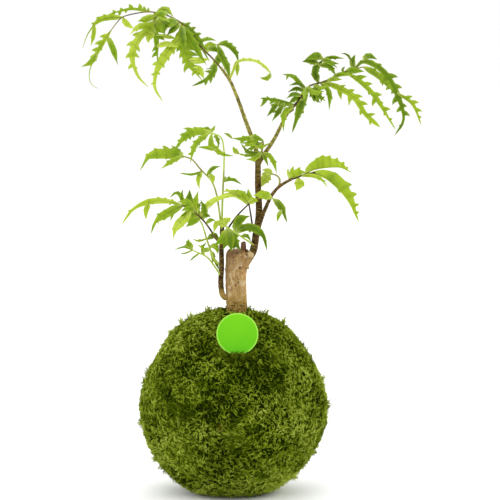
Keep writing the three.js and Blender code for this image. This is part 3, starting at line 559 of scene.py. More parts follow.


# fronds: stems, then leaflets as [line of across and up, reach away from the front, width, roll in
# degrees, and the rest by name]. A leaflet's first point only picks the nearest place on a stem or an
# earlier leaflet.
#   tones: from and to, the painted light for the leaflets without a tone of their own. lift: painted light
#       added to every tone.
#   whole: how much of the width the blade fills between lobes that aren't listed. stalk: from 0, a
#   pale green stem, to 1, a brown one. stemRadii: at the stem's start and end.
# For one leaflet:
#   tone: painted light, from 0, shaded, to 1, lit through. tail: the thin tip's share of the length,
#   with half its width in tailHalf. body: the blade's two half widths between its lobes. lobes: (share
#   of the length that the tip stands at, reach), plus to the left hand along the leaflet, minus to the
#   right; an empty list has none, and without a list the lobes are drawn. broad: makes lobes wider.
#   filling: shares of the length in which the blade fills out and narrows again.

fronds = {
    "frond_top_left": {
        "tones": (0.25, 0.6), "lift": 0.09, "whole": 0.5, "stalk": 0.7, "stemRadii": (0.8, 0.42),
        "stems": [[(-7.6, 357, 17), (-16, 367.1, 20), (-29.4, 380.5, 24), (-44.5, 399, 28),
                   (-66.4, 407.4, 30), (-88.2, 404.9, 30), (-94.1, 402.4, 30), (-105, 388.9, 29)]],
        "leaflets": [
            [[(-103.3, 393.1), (-110, 381), (-118, 366), (-121, 354), (-118.5, 346), (-112.5, 343.2)],
             -6, 10, 15,
             dict(tone=0.5, tail=0.42, tailHalf=0.45, body=(1.5, 1.7),
                  lobes=[(0.18, -6.2), (0.3, -6.6), (0.4, -5.6), (0.49, -4.4), (0.32, 2.6), (0.5, 2.8)])],
            [[(-114, 374), (-120, 365), (-127.5, 361.5)], -5, 4, 10, dict(lobes=[])],
            [[(-94.1, 404), (-111.7, 400.7), (-121.8, 389), (-126.2, 377.2)], -10, 6.5, -20,
             dict(tone=0.45, tail=0.4, tailHalf=0.6, body=(2.0, 2.1),
                  lobes=[(0.22, -3.2), (0.33, -3.4), (0.44, -3.3), (0.55, -2.6), (0.3, 2.6)])],
            [[(-115.9, 396), (-117.5, 386), (-119.3, 378.8)], -6, 3, 10, dict(lobes=[(0.6, -2.2)])],
            [[(-105.8, 388), (-101.6, 377.2), (-96.6, 362.9)], -8, 4, 25,
             dict(tone=0.3, body=(2.3, 2.3), lobes=[])],
            [[(-93.2, 403.2), (-89, 397.3), (-83.2, 393.1)], -12, 4.2, -15, dict(tone=0.6, lobes=[])],
            [[(-68, 407), (-76, 409.5), (-86.5, 411), (-105.8, 406.6)], 22, 8.5, 10,
             dict(tone=0.4, tail=0.08, body=(1.1, 0.9),
                  lobes=[(0.16, -3.4), (0.27, -3.8), (0.4, -5.4), (0.58, -4.4), (0.66, 2.8), (0.75, -3.0),
                         (0.8, 3.4), (0.9, -2.8), (0.92, 2.8)])],
            [[(-66.4, 406.6), (-64.7, 385.6), (-63, 363.7)], -16, 8, 10,
             dict(tone=0.26, body=(1.9, 1.8),
                  lobes=[(0.2, 3.6), (0.28, -4.4), (0.42, 6.4), (0.48, -3.4), (0.56, 6.8), (0.68, 3.2),
                         (0.75, -4.6), (0.86, -5.2)])],
            [[(-66, 393.1), (-76, 388), (-84, 372), (-80, 354), (-71, 344)], -14, 11, -10,
             dict(tone=0.7, tail=0.28, tailHalf=1.4, body=(2.1, 2.8),
                  lobes=[(0.28, -6.4), (0.41, -6.8), (0.43, 5.8), (0.54, -5.6), (0.54, 6.0), (0.67, -5.4),
                         (0.69, 2.6)])],
            [[(-66, 394), (-78.1, 395.6), (-86.5, 388.1)], -8, 5, 20, dict(tone=0.8, lobes=[(0.75, 2.8)])],
            [[(-66, 391), (-71, 386), (-70.5, 381)], -10, 5, 10, dict(tone=0.7, lobes=[])],
            [[(-39.5, 391), (-52, 377), (-63, 360), (-65.5, 344), (-58.8, 331.8)], -30, 12.5, 5,
             dict(tone=0.65, tail=0.28, tailHalf=1.5, body=(3.0, 3.0),
                  lobes=[(0.32, 5.2), (0.42, 5.0), (0.42, -4.4), (0.53, 4.8), (0.55, -5.6), (0.63, 3.6),
                         (0.66, -4.0), (0.76, -3.0)])],
            [[(-64, 400), (-58.5, 397.5), (-55, 391)], -22, 5, 10, dict(tone=0.5, lobes=[(0.6, -3.2)])],
            [[(-63.8, 408.2), (-56.3, 409.1), (-49.6, 402.4)], -22, 5, 20,
             dict(tone=0.45, body=(1.9, 1.9), lobes=[(0.35, 2.6), (0.6, 2.6)])],
            [[(-63.8, 406.6), (-58.8, 402.4), (-52.1, 397.3)], -34, 5, -20,
             dict(tone=0.4, body=(1.9, 1.7), lobes=[(0.4, 2.8), (0.6, 2.6)])],
            [[(-66.4, 404.9), (-73.1, 401.5), (-79.8, 399)], -14, 5, 15, dict(tone=0.5, lobes=[(0.55, 3.0)])],
            [[(-66, 400), (-70, 396.5), (-74, 396)], -10, 4, 15, dict(tone=0.4, lobes=[])],
            [[(-64, 387.2), (-54.6, 386.4), (-45.4, 384.7)], 4, 3.2, 30, dict(tone=0.8, lobes=[(0.5, -1.8)])],
            [[(-64, 378), (-55.4, 380.5), (-45.4, 377.2)], -6, 4, -15, dict(tone=0.85, lobes=[(0.6, -2.6)])],
            [[(-43.7, 398), (-42, 384), (-39.5, 372), (-34, 360), (-25, 348.6)], -22, 19, 0,
             dict(tone=0.36, tail=0.14, body=(3.4, 3.4),
                  lobes=[(0.17, 6.0), (0.27, 8.0), (0.37, 9.2), (0.48, 10.4), (0.58, 9.4), (0.68, 8.8),
                         (0.78, 6.6), (0.87, 3.6), (0.2, -6.4), (0.3, -7.0), (0.41, -7.2), (0.51, -6.4),
                         (0.61, -6.0), (0.72, -8.0), (0.82, -4.2)])],
            [[(-44, 396), (-42.3, 386), (-40, 372)], -30, 5, 10,
             dict(tone=0.08, lobes=[(0.4, -2.4), (0.6, 2.6)])],
            [[(-43.5, 396), (-36, 385), (-29, 373), (-22, 362)], -24, 8, 20,
             dict(tone=0.2, body=(2.6, 2.4), lobes=[(0.3, 4.4), (0.42, -4.0), (0.52, 4.6), (0.66, 3.8)])],
            [[(-47, 400), (-53, 398), (-58.5, 391)], -26, 6.5, 10,
             dict(tone=0.15, lobes=[(0.5, 3.8), (0.55, -3.4)])],
            [[(-62, 396), (-56, 397), (-49, 400)], -20, 5.5, -10, dict(tone=0.2, lobes=[(0.55, 3.4)])],
            [[(-66, 399), (-60, 395), (-56.5, 386)], -26, 5.5, 15, dict(tone=0.3, lobes=[(0.5, -3.4)])],
            [[(-66, 389), (-72, 395), (-81, 392.5)], -18, 6, 15,
             dict(tone=0.45, lobes=[(0.4, 3.6), (0.6, 3.2)])],
            [[(-66, 403), (-60, 405.5), (-53.5, 404)], -30, 4.5, 10, dict(tone=0.3, lobes=[])],
            [[(-45.4, 397), (-50.4, 393.1), (-55.4, 387.2)], -10, 4.5, 20, dict(tone=0.12, lobes=[])],
            [[(-43.7, 399), (-31.1, 385.6), (-20.2, 367.1)], 28, 11, 10,
             dict(tone=0.15, body=(2.7, 1.6),
                  lobes=[(0.2, 5.6), (0.34, 6.0), (0.48, 5.8), (0.61, 4.8), (0.75, 3.6), (0.45, -2.4)])],
            [[(-14.3, 368), (-15.5, 358.5), (-21.5, 351), (-34.4, 344.6)], -14, 10, -10,
             dict(tone=0.12, tail=0.25, tailHalf=1.3, body=(2.0, 1.8),
                  lobes=[(0.2, -4.2), (0.32, -6.4), (0.42, 3.8), (0.46, -6.0), (0.56, 5.0), (0.68, 4.2)])],
            [[(-23.5, 374.6), (-20.2, 380.5), (-13.4, 381.5)], 12, 5.4, 20,
             dict(tone=0.4, body=(2.6, 2.6), lobes=[])],
            [[(-19.5, 377), (-16, 378), (-11.5, 374.5)], 8, 4.6, 10, dict(tone=0.1, lobes=[])],
            [[(-13.4, 381.5), (-9.5, 371), (-4.8, 361), (-2.4, 350)], -26, 6.5, 10,
             dict(tone=0.12, body=(2.4, 2.2), lobes=[(0.3, -3.4), (0.42, 3.6), (0.6, 3.4), (0.65, -3.0)])],
            [[(-13.4, 381.5), (-8, 382.4), (-2, 379.3), (2.6, 373.5), (4.8, 365.8)], 10, 6, 15,
             dict(tone=0.15, body=(2.1, 1.6), lobes=[(0.28, 3.6), (0.42, 3.8), (0.56, 3.4), (0.7, 2.8)])],
            [[(-3, 352), (0.5, 360), (3, 366.4), (17, 368), (27.6, 362.4), (32.2, 356.4)], 18, 4, -20,
             dict(tone=0.85, tailHalf=1.2, body=(1.1, 1.0),
                  lobes=[(0.45, 2.4), (0.56, 2.2), (0.7, 2.6), (0.8, -1.8)])],
            [[(32, 357), (29, 353), (22.8, 353.6)], 4, 3.4, 0, dict(tone=0.4, lobes=[])],
            [[(3.4, 366), (3.4, 360), (3.4, 354.5)], 6, 3.2, 10, dict(tone=0.6, lobes=[])],
            [[(-12, 375), (-12.6, 369), (-14.6, 362)], -12, 5, 10, dict(tone=0.1, lobes=[(0.5, -2.8)])],
            [[(-34, 368), (-27.5, 366.2), (-19.5, 367.6)], -6, 4.6, 10,
             dict(tone=0.8, lobes=[(0.5, 1.6), (0.7, -2.6)])],
            [[(-32, 361), (-27.5, 357.5), (-24.5, 351)], -4, 5, 10, dict(tone=0.6, lobes=[(0.4, 3.0)])],
            [[(-27, 385), (-21, 386), (-14.5, 385)], 16, 2.6, 10, dict(tone=0.25, lobes=[(0.5, 1.8)])],
        ],
    },
    "frond_top_right": {
        "tones": (0.1, 0.5), "lift": -0.04, "whole": 0.5, "stalk": 0.75, "stemRadii": (1.0, 0.5),
        "stems": [[(47.9, 323.4, -10), (58, 336.8, -13), (63, 343.6, -15), (76.4, 347.8, -18),
                   (92.4, 355.3, -22), (108.4, 359.5, -25)]],
        "leaflets": [
            [[(52, 328), (36.1, 332.4), (22.7, 333.6)], -16, 10, 10,
             dict(tone=0.25, tailHalf=1.0, body=(2.0, 1.1),
                  lobes=[(0.96, 6.6), (0.6, -2.0), (0.32, 4.6), (0.5, 5.4), (0.7, 4.2), (0.8, -2.4)])],
            [[(43, 331), (38, 322.5), (32.5, 314.5)], -8, 5.5, -10,
             dict(tone=0.15, body=(1.7, 1.7), lobes=[(0.5, 2.8), (0.6, -3.2)])],
            [[(51, 327), (43, 322), (42, 305.8)], -18, 5.5, 15,
             dict(tone=0.5, body=(1.8, 1.8), lobes=[(0.35, 3.4), (0.3, -3.0), (0.55, -3.2), (0.65, 2.8)])],
            [[(39, 333), (34.5, 326), (28.5, 318.5)], -6, 6, -10,
             dict(tone=0.15, body=(1.6, 1.8), lobes=[(0.45, -3.6), (0.65, 2.8)])],
            [[(62.2, 342), (56, 325.1), (49.6, 305.8)], 22, 9.5, -10,
             dict(tone=0.2, tail=0.2, tailHalf=1.4, body=(2.8, 2.8),
                  lobes=[(0.28, -6.4), (0.4, 4.8), (0.46, -4.6), (0.56, 4.4), (0.66, 3.0), (0.62, -3.2)])],
            [[(60, 339), (53, 342), (45.5, 338.5)], -10, 5.5, 10,
             dict(tone=0.14, body=(1.4, 1.4), lobes=[(0.55, 2.8)])],
            [[(61, 341), (55, 346), (46.5, 344)], -14, 5, 10,
             dict(tone=0.16, body=(1.3, 1.4), lobes=[(0.55, -2.6)])],
            [[(57, 337), (50, 337), (44.5, 333)], -16, 5, 0,
             dict(tone=0.3, body=(1.4, 1.5), lobes=[(0.5, 2.8)])],
            [[(65, 344), (60, 339), (59, 331)], -26, 5.5, 10,
             dict(tone=0.5, body=(1.5, 1.5), lobes=[(0.4, 3.0), (0.6, -2.8)])],
            [[(68, 345), (73, 342), (79.5, 343)], -28, 4.6, -10,
             dict(tone=0.55, body=(1.2, 1.4), lobes=[(0.5, -2.8), (0.4, 2.2)])],
            [[(58.5, 333), (52.5, 333.5), (45.5, 328.5)], -12, 6, -10,
             dict(tone=0.2, body=(1.6, 1.7), lobes=[(0.4, 3.0), (0.65, 2.6)])],
            [[(70, 346), (69.5, 338), (77, 330.5)], -22, 8.5, 5, dict(tone=0.35)],
            [[(60.5, 341), (50.4, 351.8), (41, 353)], -20, 6.5, 15,
             dict(tone=0.35, body=(1.8, 1.4), lobes=[(0.5, -2.2), (0.85, 4.0)])],
            [[(64, 343), (67.2, 334.3), (73.1, 329.3)], -18, 6, 20, dict(tone=0.15)],
            [[(62, 342), (68, 338), (76, 339)], -24, 5, 10,
             dict(tone=0.5, body=(1.5, 1.5), lobes=[(0.35, -3.0), (0.6, -2.6)])],
            [[(71.4, 346), (68.2, 356.2), (76.4, 367.1)], -10, 7, -10,
             dict(tone=0.08, body=(2.3, 2.3),
                  lobes=[(0.25, -3.2), (0.35, 3.4), (0.5, -3.6), (0.55, 3.4), (0.7, 3.2)])],
            [[(72, 362), (64.7, 364.5), (57.5, 363.5)], -8, 6.5, 10,
             dict(tone=0.1, body=(2.2, 2.2), lobes=[(0.5, 3.2), (0.6, -3.4)])],
            [[(76, 365.4), (69, 369), (60, 365.2)], -4, 8, 15,
             dict(tone=0.2, body=(2.9, 2.5), lobes=[(0.4, -3.2)])],
            [[(75, 366), (82.3, 367.1), (92.4, 366.2)], -6, 2.6, 30, dict(tone=0.3, lobes=[(0.6, -2.6)])],
            [[(74, 365), (80.6, 362.9), (88.2, 361.2)], -16, 3, -10, dict(tone=0.2, lobes=[])],
            [[(75, 365), (79, 364), (86.5, 357.8)], -20, 3.4, 5, dict(tone=0.2, lobes=[])],
            [[(71, 361), (79.8, 359.5), (85.7, 351)], -20, 6, 5,
             dict(tone=0.15, body=(1.7, 1.8), lobes=[(0.4, 3.2), (0.6, -2.8), (0.7, 2.6)])],
            [[(73.1, 346.9), (79.4, 339.4), (80.2, 323.5)], -14, 6, 20,
             dict(tone=0.45, body=(1.8, 1.7), lobes=[(0.3, 3.0), (0.5, -3.2), (0.65, 2.6)])],
            [[(78.1, 348.6), (84, 349.4), (90.7, 348.6)], -20, 3, 0, dict(tone=0.6, lobes=[])],
            [[(75, 347), (88, 342), (100.5, 334), (110, 320), (121.8, 309.1)], -30, 13, 0,
             dict(tone=0.62, tail=0.1, tailHalf=1.8, body=(2.2, 1.8),
                  lobes=[(0.2, 2.6), (0.29, 4.8), (0.42, 5.4), (0.53, 6.0), (0.64, 6.4), (0.83, 6.0),
                         (0.33, -7.4), (0.5, -7.6), (0.71, -4.2), (0.88, -4.0)])],
            [[(92.4, 355), (103.4, 348.6), (116, 336.6), (126, 322), (135.2, 307.4)], -12, 13, -8,
             dict(tone=0.6, tail=0.12, tailHalf=0.8, body=(2.3, 1.1),
                  lobes=[(0.26, 8.0), (0.37, 6.8), (0.54, 6.4), (0.63, 3.6), (0.75, 6.0), (0.86, 2.8),
                         (0.44, -2.6), (0.59, -5.6), (0.77, -2.2)])],
            [[(108.4, 359.5), (123.5, 350.3), (136.9, 336.8)], 26, 10, 15,
             dict(tone=0.5, body=(2.5, 1.8),
                  lobes=[(0.3, 5.0), (0.5, 5.6), (0.7, 4.6), (0.58, -3.4), (0.8, -4.2)])],
            [[(101.6, 357.8), (108.4, 364.2), (124.6, 356.2), (137.8, 334), (141.8, 315.2), (134.4, 302.6)],
             -6, 13, -10,
             dict(tone=0.2, tail=0.1, tailHalf=1.1, body=(2.1, 1.9),
                  lobes=[(0.2, 2.8), (0.28, 4.0), (0.45, 7.4), (0.55, 6.4), (0.63, 3.4), (0.72, 4.4),
                         (0.8, 5.6), (0.36, -3.6), (0.44, -7.8), (0.56, -4.2), (0.66, -6.8), (0.75, -5.4),
                         (0.9, -1.8)])],
            [[(108, 365.4), (112.6, 368.8), (120.1, 366.2)], 12, 4.5, 10, dict(tone=0.2, lobes=[])],
            [[(137.5, 339), (149, 328.4), (156.2, 310.8)], -14, 7, 10,
             dict(tone=0.6, tail=0.16, tailHalf=0.8, body=(1.3, 1.0),
                  lobes=[(0.35, 4.6), (0.52, 5.0), (0.7, 4.2), (0.83, 2.4)])],
            [[(100.8, 357.8), (99.1, 363.7), (101.6, 369.6)], -6, 4, 0, dict(tone=0.2, lobes=[])],
            [[(99.5, 363), (94.9, 369.6), (89.9, 370.4)], -4, 1.6, 0, dict(tone=0.1, lobes=[])],
            [[(92, 355), (91.3, 358), (93.3, 359.6)], -3, 1.8, 0, dict(tone=0.3, lobes=[])],
            [[(92.4, 355), (100, 356.6), (109, 355.6)], -6, 4.6, 10, dict(tone=0.45, lobes=[(0.5, -2.2)])],
            [[(83, 351.5), (90, 353.4), (99, 352)], -14, 3, 10, dict(tone=0.5, lobes=[])],
        ],
    },
    "frond_right": {
        "tones": (0.5, 0.8), "lift": -0.1, "whole": 0.8, "stalk": 0.85,
        "stems": [[(47, 266.3, -15), (53.8, 268, -17), (59.6, 270.5, -18), (68.9, 272.2, -20)]],
        "leaflets": [
            [[(60, 271), (66.5, 274.4), (80, 276.8), (90.5, 276.6), (99.6, 272.4)], 16, 13.5, 10,
             dict(tone=0.72, body=(8.2, 0.6), broad=1.2, filling=(0.5, 0.55),
                  lobes=[(0.32, 8.6), (0.44, 10.2), (0.56, 9.4), (0.68, 7.4), (0.79, 5.0), (0.88, 2.8)])],
            [[(66, 272), (76.5, 268.6), (88.4, 258.9), (98.2, 246.6), (104.8, 231)], -14, 17, -5,
             dict(tone=0.68, tail=0.14, tailHalf=1.3, body=(7.0, 0.9), broad=1.3, filling=(0.35, 0.5),
                  lobes=[(0.3, 8.6), (0.53, 10.4), (0.66, 8.8), (0.78, 6.2), (0.88, 3.6), (0.5, -2.4)])],
            [[(57, 268.5), (66, 269.2), (73.5, 266.2), (78.6, 259.6)], -26, 4.5, 20,
             dict(tone=0.8, body=(1.3, 1.4), lobes=[(0.6, -2.4), (0.8, 1.8)])],
            [[(45, 266), (51, 269.4), (57, 271.6), (61.5, 272.2)], -8, 8.5, 10,
             dict(tone=0.75, body=(3.6, 1.4), lobes=[(0.2, 7.4), (0.45, 7.0), (0.7, 5.0)])],
            [[(53.8, 268), (55.4, 262.9), (52.9, 257)], -8, 6.5, -10,
             dict(tone=0.85, body=(3.4, 3.2), lobes=[(0.5, 4.6), (0.45, -4.4)])],
        ],
    },
    "frond_right_low": {
        "tones": (0.3, 0.6), "whole": 0.6, "stalk": 0.3,
        "stems": [[(30.2, 250.3, -7), (32.5, 251, -10), (34.5, 249.5, -12)]],
        "leaflets": [
            [[(34, 250), (40.3, 242.8), (45.4, 230.2)], -10, 6.5, 10,
             dict(tone=0.2, tail=0.25, tailHalf=1.2, body=(2.6, 2.2), lobes=[(0.4, -3.2)])],
            [[(33, 251), (25.2, 253.7), (16.8, 252.8)], -6, 7, -5,
             dict(tone=0.66, body=(2.8, 2.8),
                  lobes=[(0.3, 3.8), (0.5, 4.0), (0.72, 3.4), (0.35, -3.6), (0.6, -3.8)])],
            [[(41.2, 241), (38.6, 237.7), (37, 231)], -3, 3, 10, dict(tone=0.5, lobes=[])],
        ],
    },
    "frond_right_back": {
        "tones": (0.7, 0.95), "whole": 0.7, "stalk": 0.5,
        "stems": [[(38.6, 260.4, -12), (39.2, 266.3, -7), (36.5, 270, 1), (31.5, 271.5, 9)]],
        "leaflets": [
            [[(31.5, 271.5), (27.7, 268.8), (23, 260)], 5, 6.5, 5,
             dict(body=(3.2, 3.0), lobes=[(0.35, 5.0), (0.6, 4.4), (0.4, -4.6), (0.65, -3.6)])],
            [[(33, 271), (29, 274), (24.5, 275)], 8, 4, -10, dict(lobes=[])],
        ],
    },
    "frond_fork": {
        "tones": (0.12, 0.5), "whole": 0.62, "stalk": 0.5,
        "stems": [[(22.5, 284, 3), (24.4, 291.5, -5), (25.4, 296.5, -10), (24.4, 299.9, -13)]],
        "leaflets": [
            [[(24.4, 299.9), (14.3, 300.9), (5.9, 300.2), (-1.7, 300.7)], -6, 6.6, 20,
             dict(tone=0.45, body=(1.8, 1.8),
                  lobes=[(0.25, 3.4), (0.35, -3.0), (0.5, 4.2), (0.62, -3.2), (0.7, 3.8)])],
            [[(25.2, 297.4), (17.6, 293.5), (10.9, 290.6)], -8, 6.5, -10,
             dict(tone=0.3, body=(1.4, 1.4), lobes=[(0.4, 3.0), (0.6, -2.8), (0.75, 2.4)])],
            [[(24.6, 294.8), (17.5, 297), (6.5, 296.4)], -12, 7, 10,
             dict(tone=0.35, body=(1.5, 1.3), lobes=[(0.35, -2.8), (0.5, 3.0), (0.7, -2.4), (0.8, 2.2)])],
            [[(24, 295), (16, 295.5), (8, 293.5)], -16, 6.5, 10,
             dict(tone=0.5, body=(1.2, 1.4), lobes=[(0.3, 2.8), (0.45, -3.2), (0.6, 2.8), (0.75, -2.4)])],
            [[(24.4, 290), (27, 284), (29.6, 277.5)], -4, 6, 10,
             dict(tone=0.2, body=(1.2, 1.2), lobes=[(0.5, 2.4)])],
            [[(14, 300.5), (19, 301.2), (26, 298)], -4, 4.6, 15,
             dict(tone=0.25, body=(1.8, 1.8), lobes=[(0.4, 2.8), (0.6, -2.4)])],
            [[(24, 290), (18, 284), (11, 283)], -12, 5, 10,
             dict(tone=0.55, body=(1.5, 1.5), lobes=[(0.45, -3.0), (0.6, 2.6)])],
            [[(24, 289), (13, 289.5), (6.7, 296.5)], -8, 4, 15, dict(tone=0.2)],
            [[(24, 287.5), (12, 286.5), (4.2, 288.1)], -9, 3.2, -10, dict(tone=0.55)],
            [[(24.4, 289), (31, 285.5), (35, 278), (36.6, 271)], -10, 5, 10,
             dict(tone=0.5, body=(1.6, 1.5), lobes=[(0.3, 2.4), (0.5, -2.4), (0.6, 2.6)])],
            [[(18, 294), (24, 293.4), (31.5, 297)], -8, 3.4, 10,
             dict(tone=0.5, body=(0.9, 1.0), lobes=[(0.4, -2.0)])],
            [[(-1, 300.7), (-3.4, 303.2), (-7.6, 304.9)], -3, 2.0, 0, dict(tone=0.3, lobes=[])],
            [[(5, 288), (1.7, 290.6), (0, 294)], -2, 3.4, 0, dict(tone=0.5, lobes=[])],
        ],
    },
    "frond_upper_left": {
        "tones": (0.3, 0.7), "whole": 0.55, "stalk": 0.1,
        "stems": [[(-9.2, 229.6, -3), (-9, 241.1, -4.5), (-8.4, 257.9, -6), (-7.6, 274.7, -9),
                   (-7.6, 291.5, -12), (-10.1, 301.6, -14), (-20.2, 305.8, -17)]],
        "leaflets": [
            [[(-19.3, 305), (-29.4, 306.8), (-39.5, 302.3), (-48, 290.8)], -14, 10, 10,
             dict(tone=0.46, tailHalf=1.4, body=(2.8, 2.6),
                  lobes=[(0.2, 3.4), (0.22, -3.2), (0.36, -4.0), (0.34, 3.8), (0.46, 4.6), (0.54, -6.8),
                         (0.58, 4.8), (0.67, -4.4), (0.7, 3.8), (0.8, -3.4)])],
            [[(-19.8, 305), (-31.1, 294.8), (-35.3, 279.7)], -24, 5.5, -15,
             dict(tone=0.5, body=(1.9, 1.8),
                  lobes=[(0.2, 3.0), (0.3, -3.2), (0.42, 3.4), (0.48, -3.4), (0.62, -3.0), (0.66, 2.8),
                         (0.8, -3.4)])],
            [[(-17.6, 304.9), (-18.5, 296.5), (-9.2, 287.3), (0.8, 285.6)], -18, 6.5, 10,
             dict(tone=0.5, body=(1.9, 1.5),
                  lobes=[(0.25, 3.0), (0.33, -3.4), (0.5, 3.6), (0.6, -2.4), (0.75, 2.2)])],
            [[(-14, 290), (-21, 292.5), (-29.4, 293)], -6, 2.6, 0, dict(tone=0.4, lobes=[])],
            [[(-15.1, 304.1), (-12.6, 299), (-11.8, 293.2)], 12, 4, 0, dict(tone=0.35)],
            [[(-17.5, 305), (-21, 308.8), (-27, 308.6)], 6, 2.6, 0, dict(tone=0.3, lobes=[])],
            [[(-18.5, 305), (-16, 309), (-14.8, 311.5)], 4, 2.2, 0, dict(tone=0.4, lobes=[])],
            [[(-8.4, 264.6), (-0.8, 266.3), (7.6, 262.1)], -5, 4, 15,
             dict(tone=0.3, body=(1.4, 1.0), lobes=[(0.22, 3.6), (0.36, 2.8), (0.6, 1.8)])],
        ],
    },
    "frond_mid_left": {
        "tones": (0.35, 0.7), "whole": 0.6, "stalk": 0.25,
        "stems": [[(-9.2, 224.5, -3), (-10.2, 230, -8.5), (-11.8, 242.8, -11.5), (-13.6, 253.7, -13),
                   (-17.6, 264.6, -17), (-26.9, 274.7, -22), (-34.4, 283.1, -26), (-42, 285.6, -28)]],
        "leaflets": [
            [[(-41.2, 285.6), (-56.8, 286.4), (-69.6, 284.4), (-77.2, 273.2)], -8, 13, 5,
             dict(tone=0.46, tail=0.2, tailHalf=1.0, body=(2.4, 4.7),
                  lobes=[(0.14, -5.4), (0.25, -6.6), (0.4, -8.4), (0.56, -6.4), (0.7, -4.0), (0.2, 3.4),
                         (0.36, 3.6), (0.54, 3.0)])],
            [[(-42, 285), (-50.4, 281.2), (-59.6, 274.7)], -18, 4.5, -10,
             dict(tone=0.55, body=(1.6, 1.6), lobes=[(0.3, 2.6), (0.45, -2.8), (0.55, 2.6), (0.65, -2.8)])],
            [[(-42.8, 286.4), (-47, 290.6), (-51.2, 294.8)], 12, 6.5, 0, dict(tone=0.45)],
            [[(-25.2, 273), (-34.4, 270.3), (-44.5, 271.5)], -16, 3.2, 20,
             dict(tone=0.35, body=(0.8, 1.0), lobes=[(0.25, 2.4)])],
            [[(-26.9, 274), (-29, 265.4), (-27.7, 258.5)], -8, 4.6, 0,
             dict(tone=0.75, body=(1.5, 1.6), lobes=[(0.3, 2.4)])],
            [[(-21, 269), (-17.6, 268), (-16, 262.9)], -14, 4.6, 0, dict(tone=0.7, lobes=[])],
            [[(-21.8, 270), (-16.8, 275.5), (-10.1, 277.2)], -10, 2.8, 0,
             dict(tone=0.3, lobes=[(0.6, -1.8)])],
        ],
    },
    "frond_left": {
        "tones": (0.3, 0.7), "lift": 0.05, "whole": 0.7, "stalk": 0.7,
        "stems": [[(-10.1, 212, -4), (-13.6, 216, -9), (-19.3, 225.1, -15), (-25.2, 232.7, -20),
                   (-36.1, 242, -28), (-42, 244.4, -30)]],
        "leaflets": [
            [[(-41.2, 244.4), (-52.9, 247.8), (-69.7, 247.6), (-83, 241.4), (-92.2, 229)], -6, 8.5, 10,
             dict(tone=0.7, tail=0.2, tailHalf=1.2, body=(1.9, 2.2), filling=(0.4, 0.35),
                  lobes=[(0.18, -2.8), (0.28, -3.4), (0.38, -3.8), (0.5, -2.8), (0.8, -2.4), (0.2, 2.6),
                         (0.45, 2.8)])],
            [[(-69.7, 249), (-72.2, 240.2), (-72.2, 232.7)], -4, 3.6, 0, dict(tone=0.6, lobes=[(0.5, -2.0)])],
            [[(-42, 244), (-53.6, 238.4), (-63.8, 231.2), (-67.8, 220.8)], -22, 9, -10,
             dict(tone=0.4, tail=0.25, tailHalf=1.3, body=(3.0, 3.0),
                  lobes=[(0.36, 7.0), (0.5, 4.2), (0.42, -4.0), (0.58, -4.2), (0.68, 3.2)])],
            [[(-36, 240), (-42, 233), (-47.6, 226), (-49.8, 215)], -16, 7.5, 15,
             dict(tone=0.76, tail=0.16, body=(3.4, 3.0),
                  lobes=[(0.7, -3.2), (0.3, 4.6), (0.48, 4.4), (0.45, -3.8)])],
            [[(-40.3, 244), (-42.8, 252), (-41.2, 257.9)], -12, 2.6, 0, dict(tone=0.2, lobes=[(0.6, -2.0)])],
            [[(-36.1, 242), (-36.1, 250.3), (-36.1, 257.9)], 6, 5, 10, dict(tone=0.12, lobes=[(0.6, 2.4)])],
            [[(-30.5, 237), (-31, 248), (-28.6, 257)], -6, 4, 0, dict(tone=0.5, lobes=[(0.6, 2.6)])],
            [[(-39, 243.5), (-46.2, 255.4), (-52.9, 251.2)], 14, 2.8, 0, dict(tone=0.3, lobes=[])],
            [[(-27, 234), (-30, 241), (-26.4, 247.6)], -6, 6.4, 20, dict(tone=0.2)],
            [[(-29, 235), (-35.5, 238), (-43.5, 235.5)], -10, 5, 0,
             dict(tone=0.2, lobes=[(0.4, -3.0), (0.6, 2.8)])],
            [[(-31, 238), (-36, 242.5), (-43, 240)], -14, 4.6, 10, dict(tone=0.3, lobes=[(0.5, 2.8)])],
            [[(-26, 234), (-23.5, 236.5), (-18.5, 235.5)], -6, 4, 0, dict(tone=0.15, lobes=[])],
            [[(-33, 240), (-38, 247), (-46, 247.5)], -14, 5, 10,
             dict(tone=0.35, lobes=[(0.45, 3.0), (0.6, -2.8)])],
            [[(-27, 234), (-33, 231.5), (-39, 226.5)], -14, 5, -10, dict(tone=0.3, lobes=[(0.5, 3.0)])],
            [[(-24, 233), (-23.4, 241), (-27, 249.4)], -10, 4.4, 10, dict(tone=0.2, lobes=[(0.6, 2.8)])],
            [[(-22, 230), (-18.5, 232.6), (-14.5, 232)], -10, 3, 0, dict(tone=0.45, lobes=[])],
            [[(-27, 236), (-20.8, 245.6), (-12.6, 250.6), (-0.8, 254)], -12, 5, 0,
             dict(tone=0.85, body=(1.7, 1.6), lobes=[(0.4, 2.4), (0.6, -2.6)])],
        ],
    },
    "frond_lower_left": {
        "tones": (0.35, 0.75), "whole": 0.65, "stalk": 0.15,
        "stems": [[(-10.2, 186, -4), (-15.1, 193.2, -10), (-21.8, 201.6, -17), (-34.4, 207.5, -24)]],
        "leaflets": [
            [[(-33.6, 207.5), (-36.1, 211.7), (-39.5, 215)], -5, 6.5, 10,
             dict(tone=0.45, body=(2.2, 2.2), lobes=[(0.8, 3.6), (0.85, -3.2)])],
            [[(-34, 207.5), (-41.2, 210), (-48.7, 207.5)], -6, 3.6, -10,
             dict(tone=0.4, body=(0.6, 0.7), lobes=[])],
            [[(-34, 207), (-39.5, 204.8), (-43.7, 204.6)], -12, 2.8, 0,
             dict(tone=0.4, body=(0.5, 0.6), lobes=[])],
            [[(-27.7, 205), (-31.9, 202), (-36.1, 198)], -10, 2.8, 0,
             dict(tone=0.3, body=(0.6, 0.7), lobes=[])],
            [[(-25.2, 204), (-25.2, 210), (-21.8, 214.2)], -6, 3.8, 10,
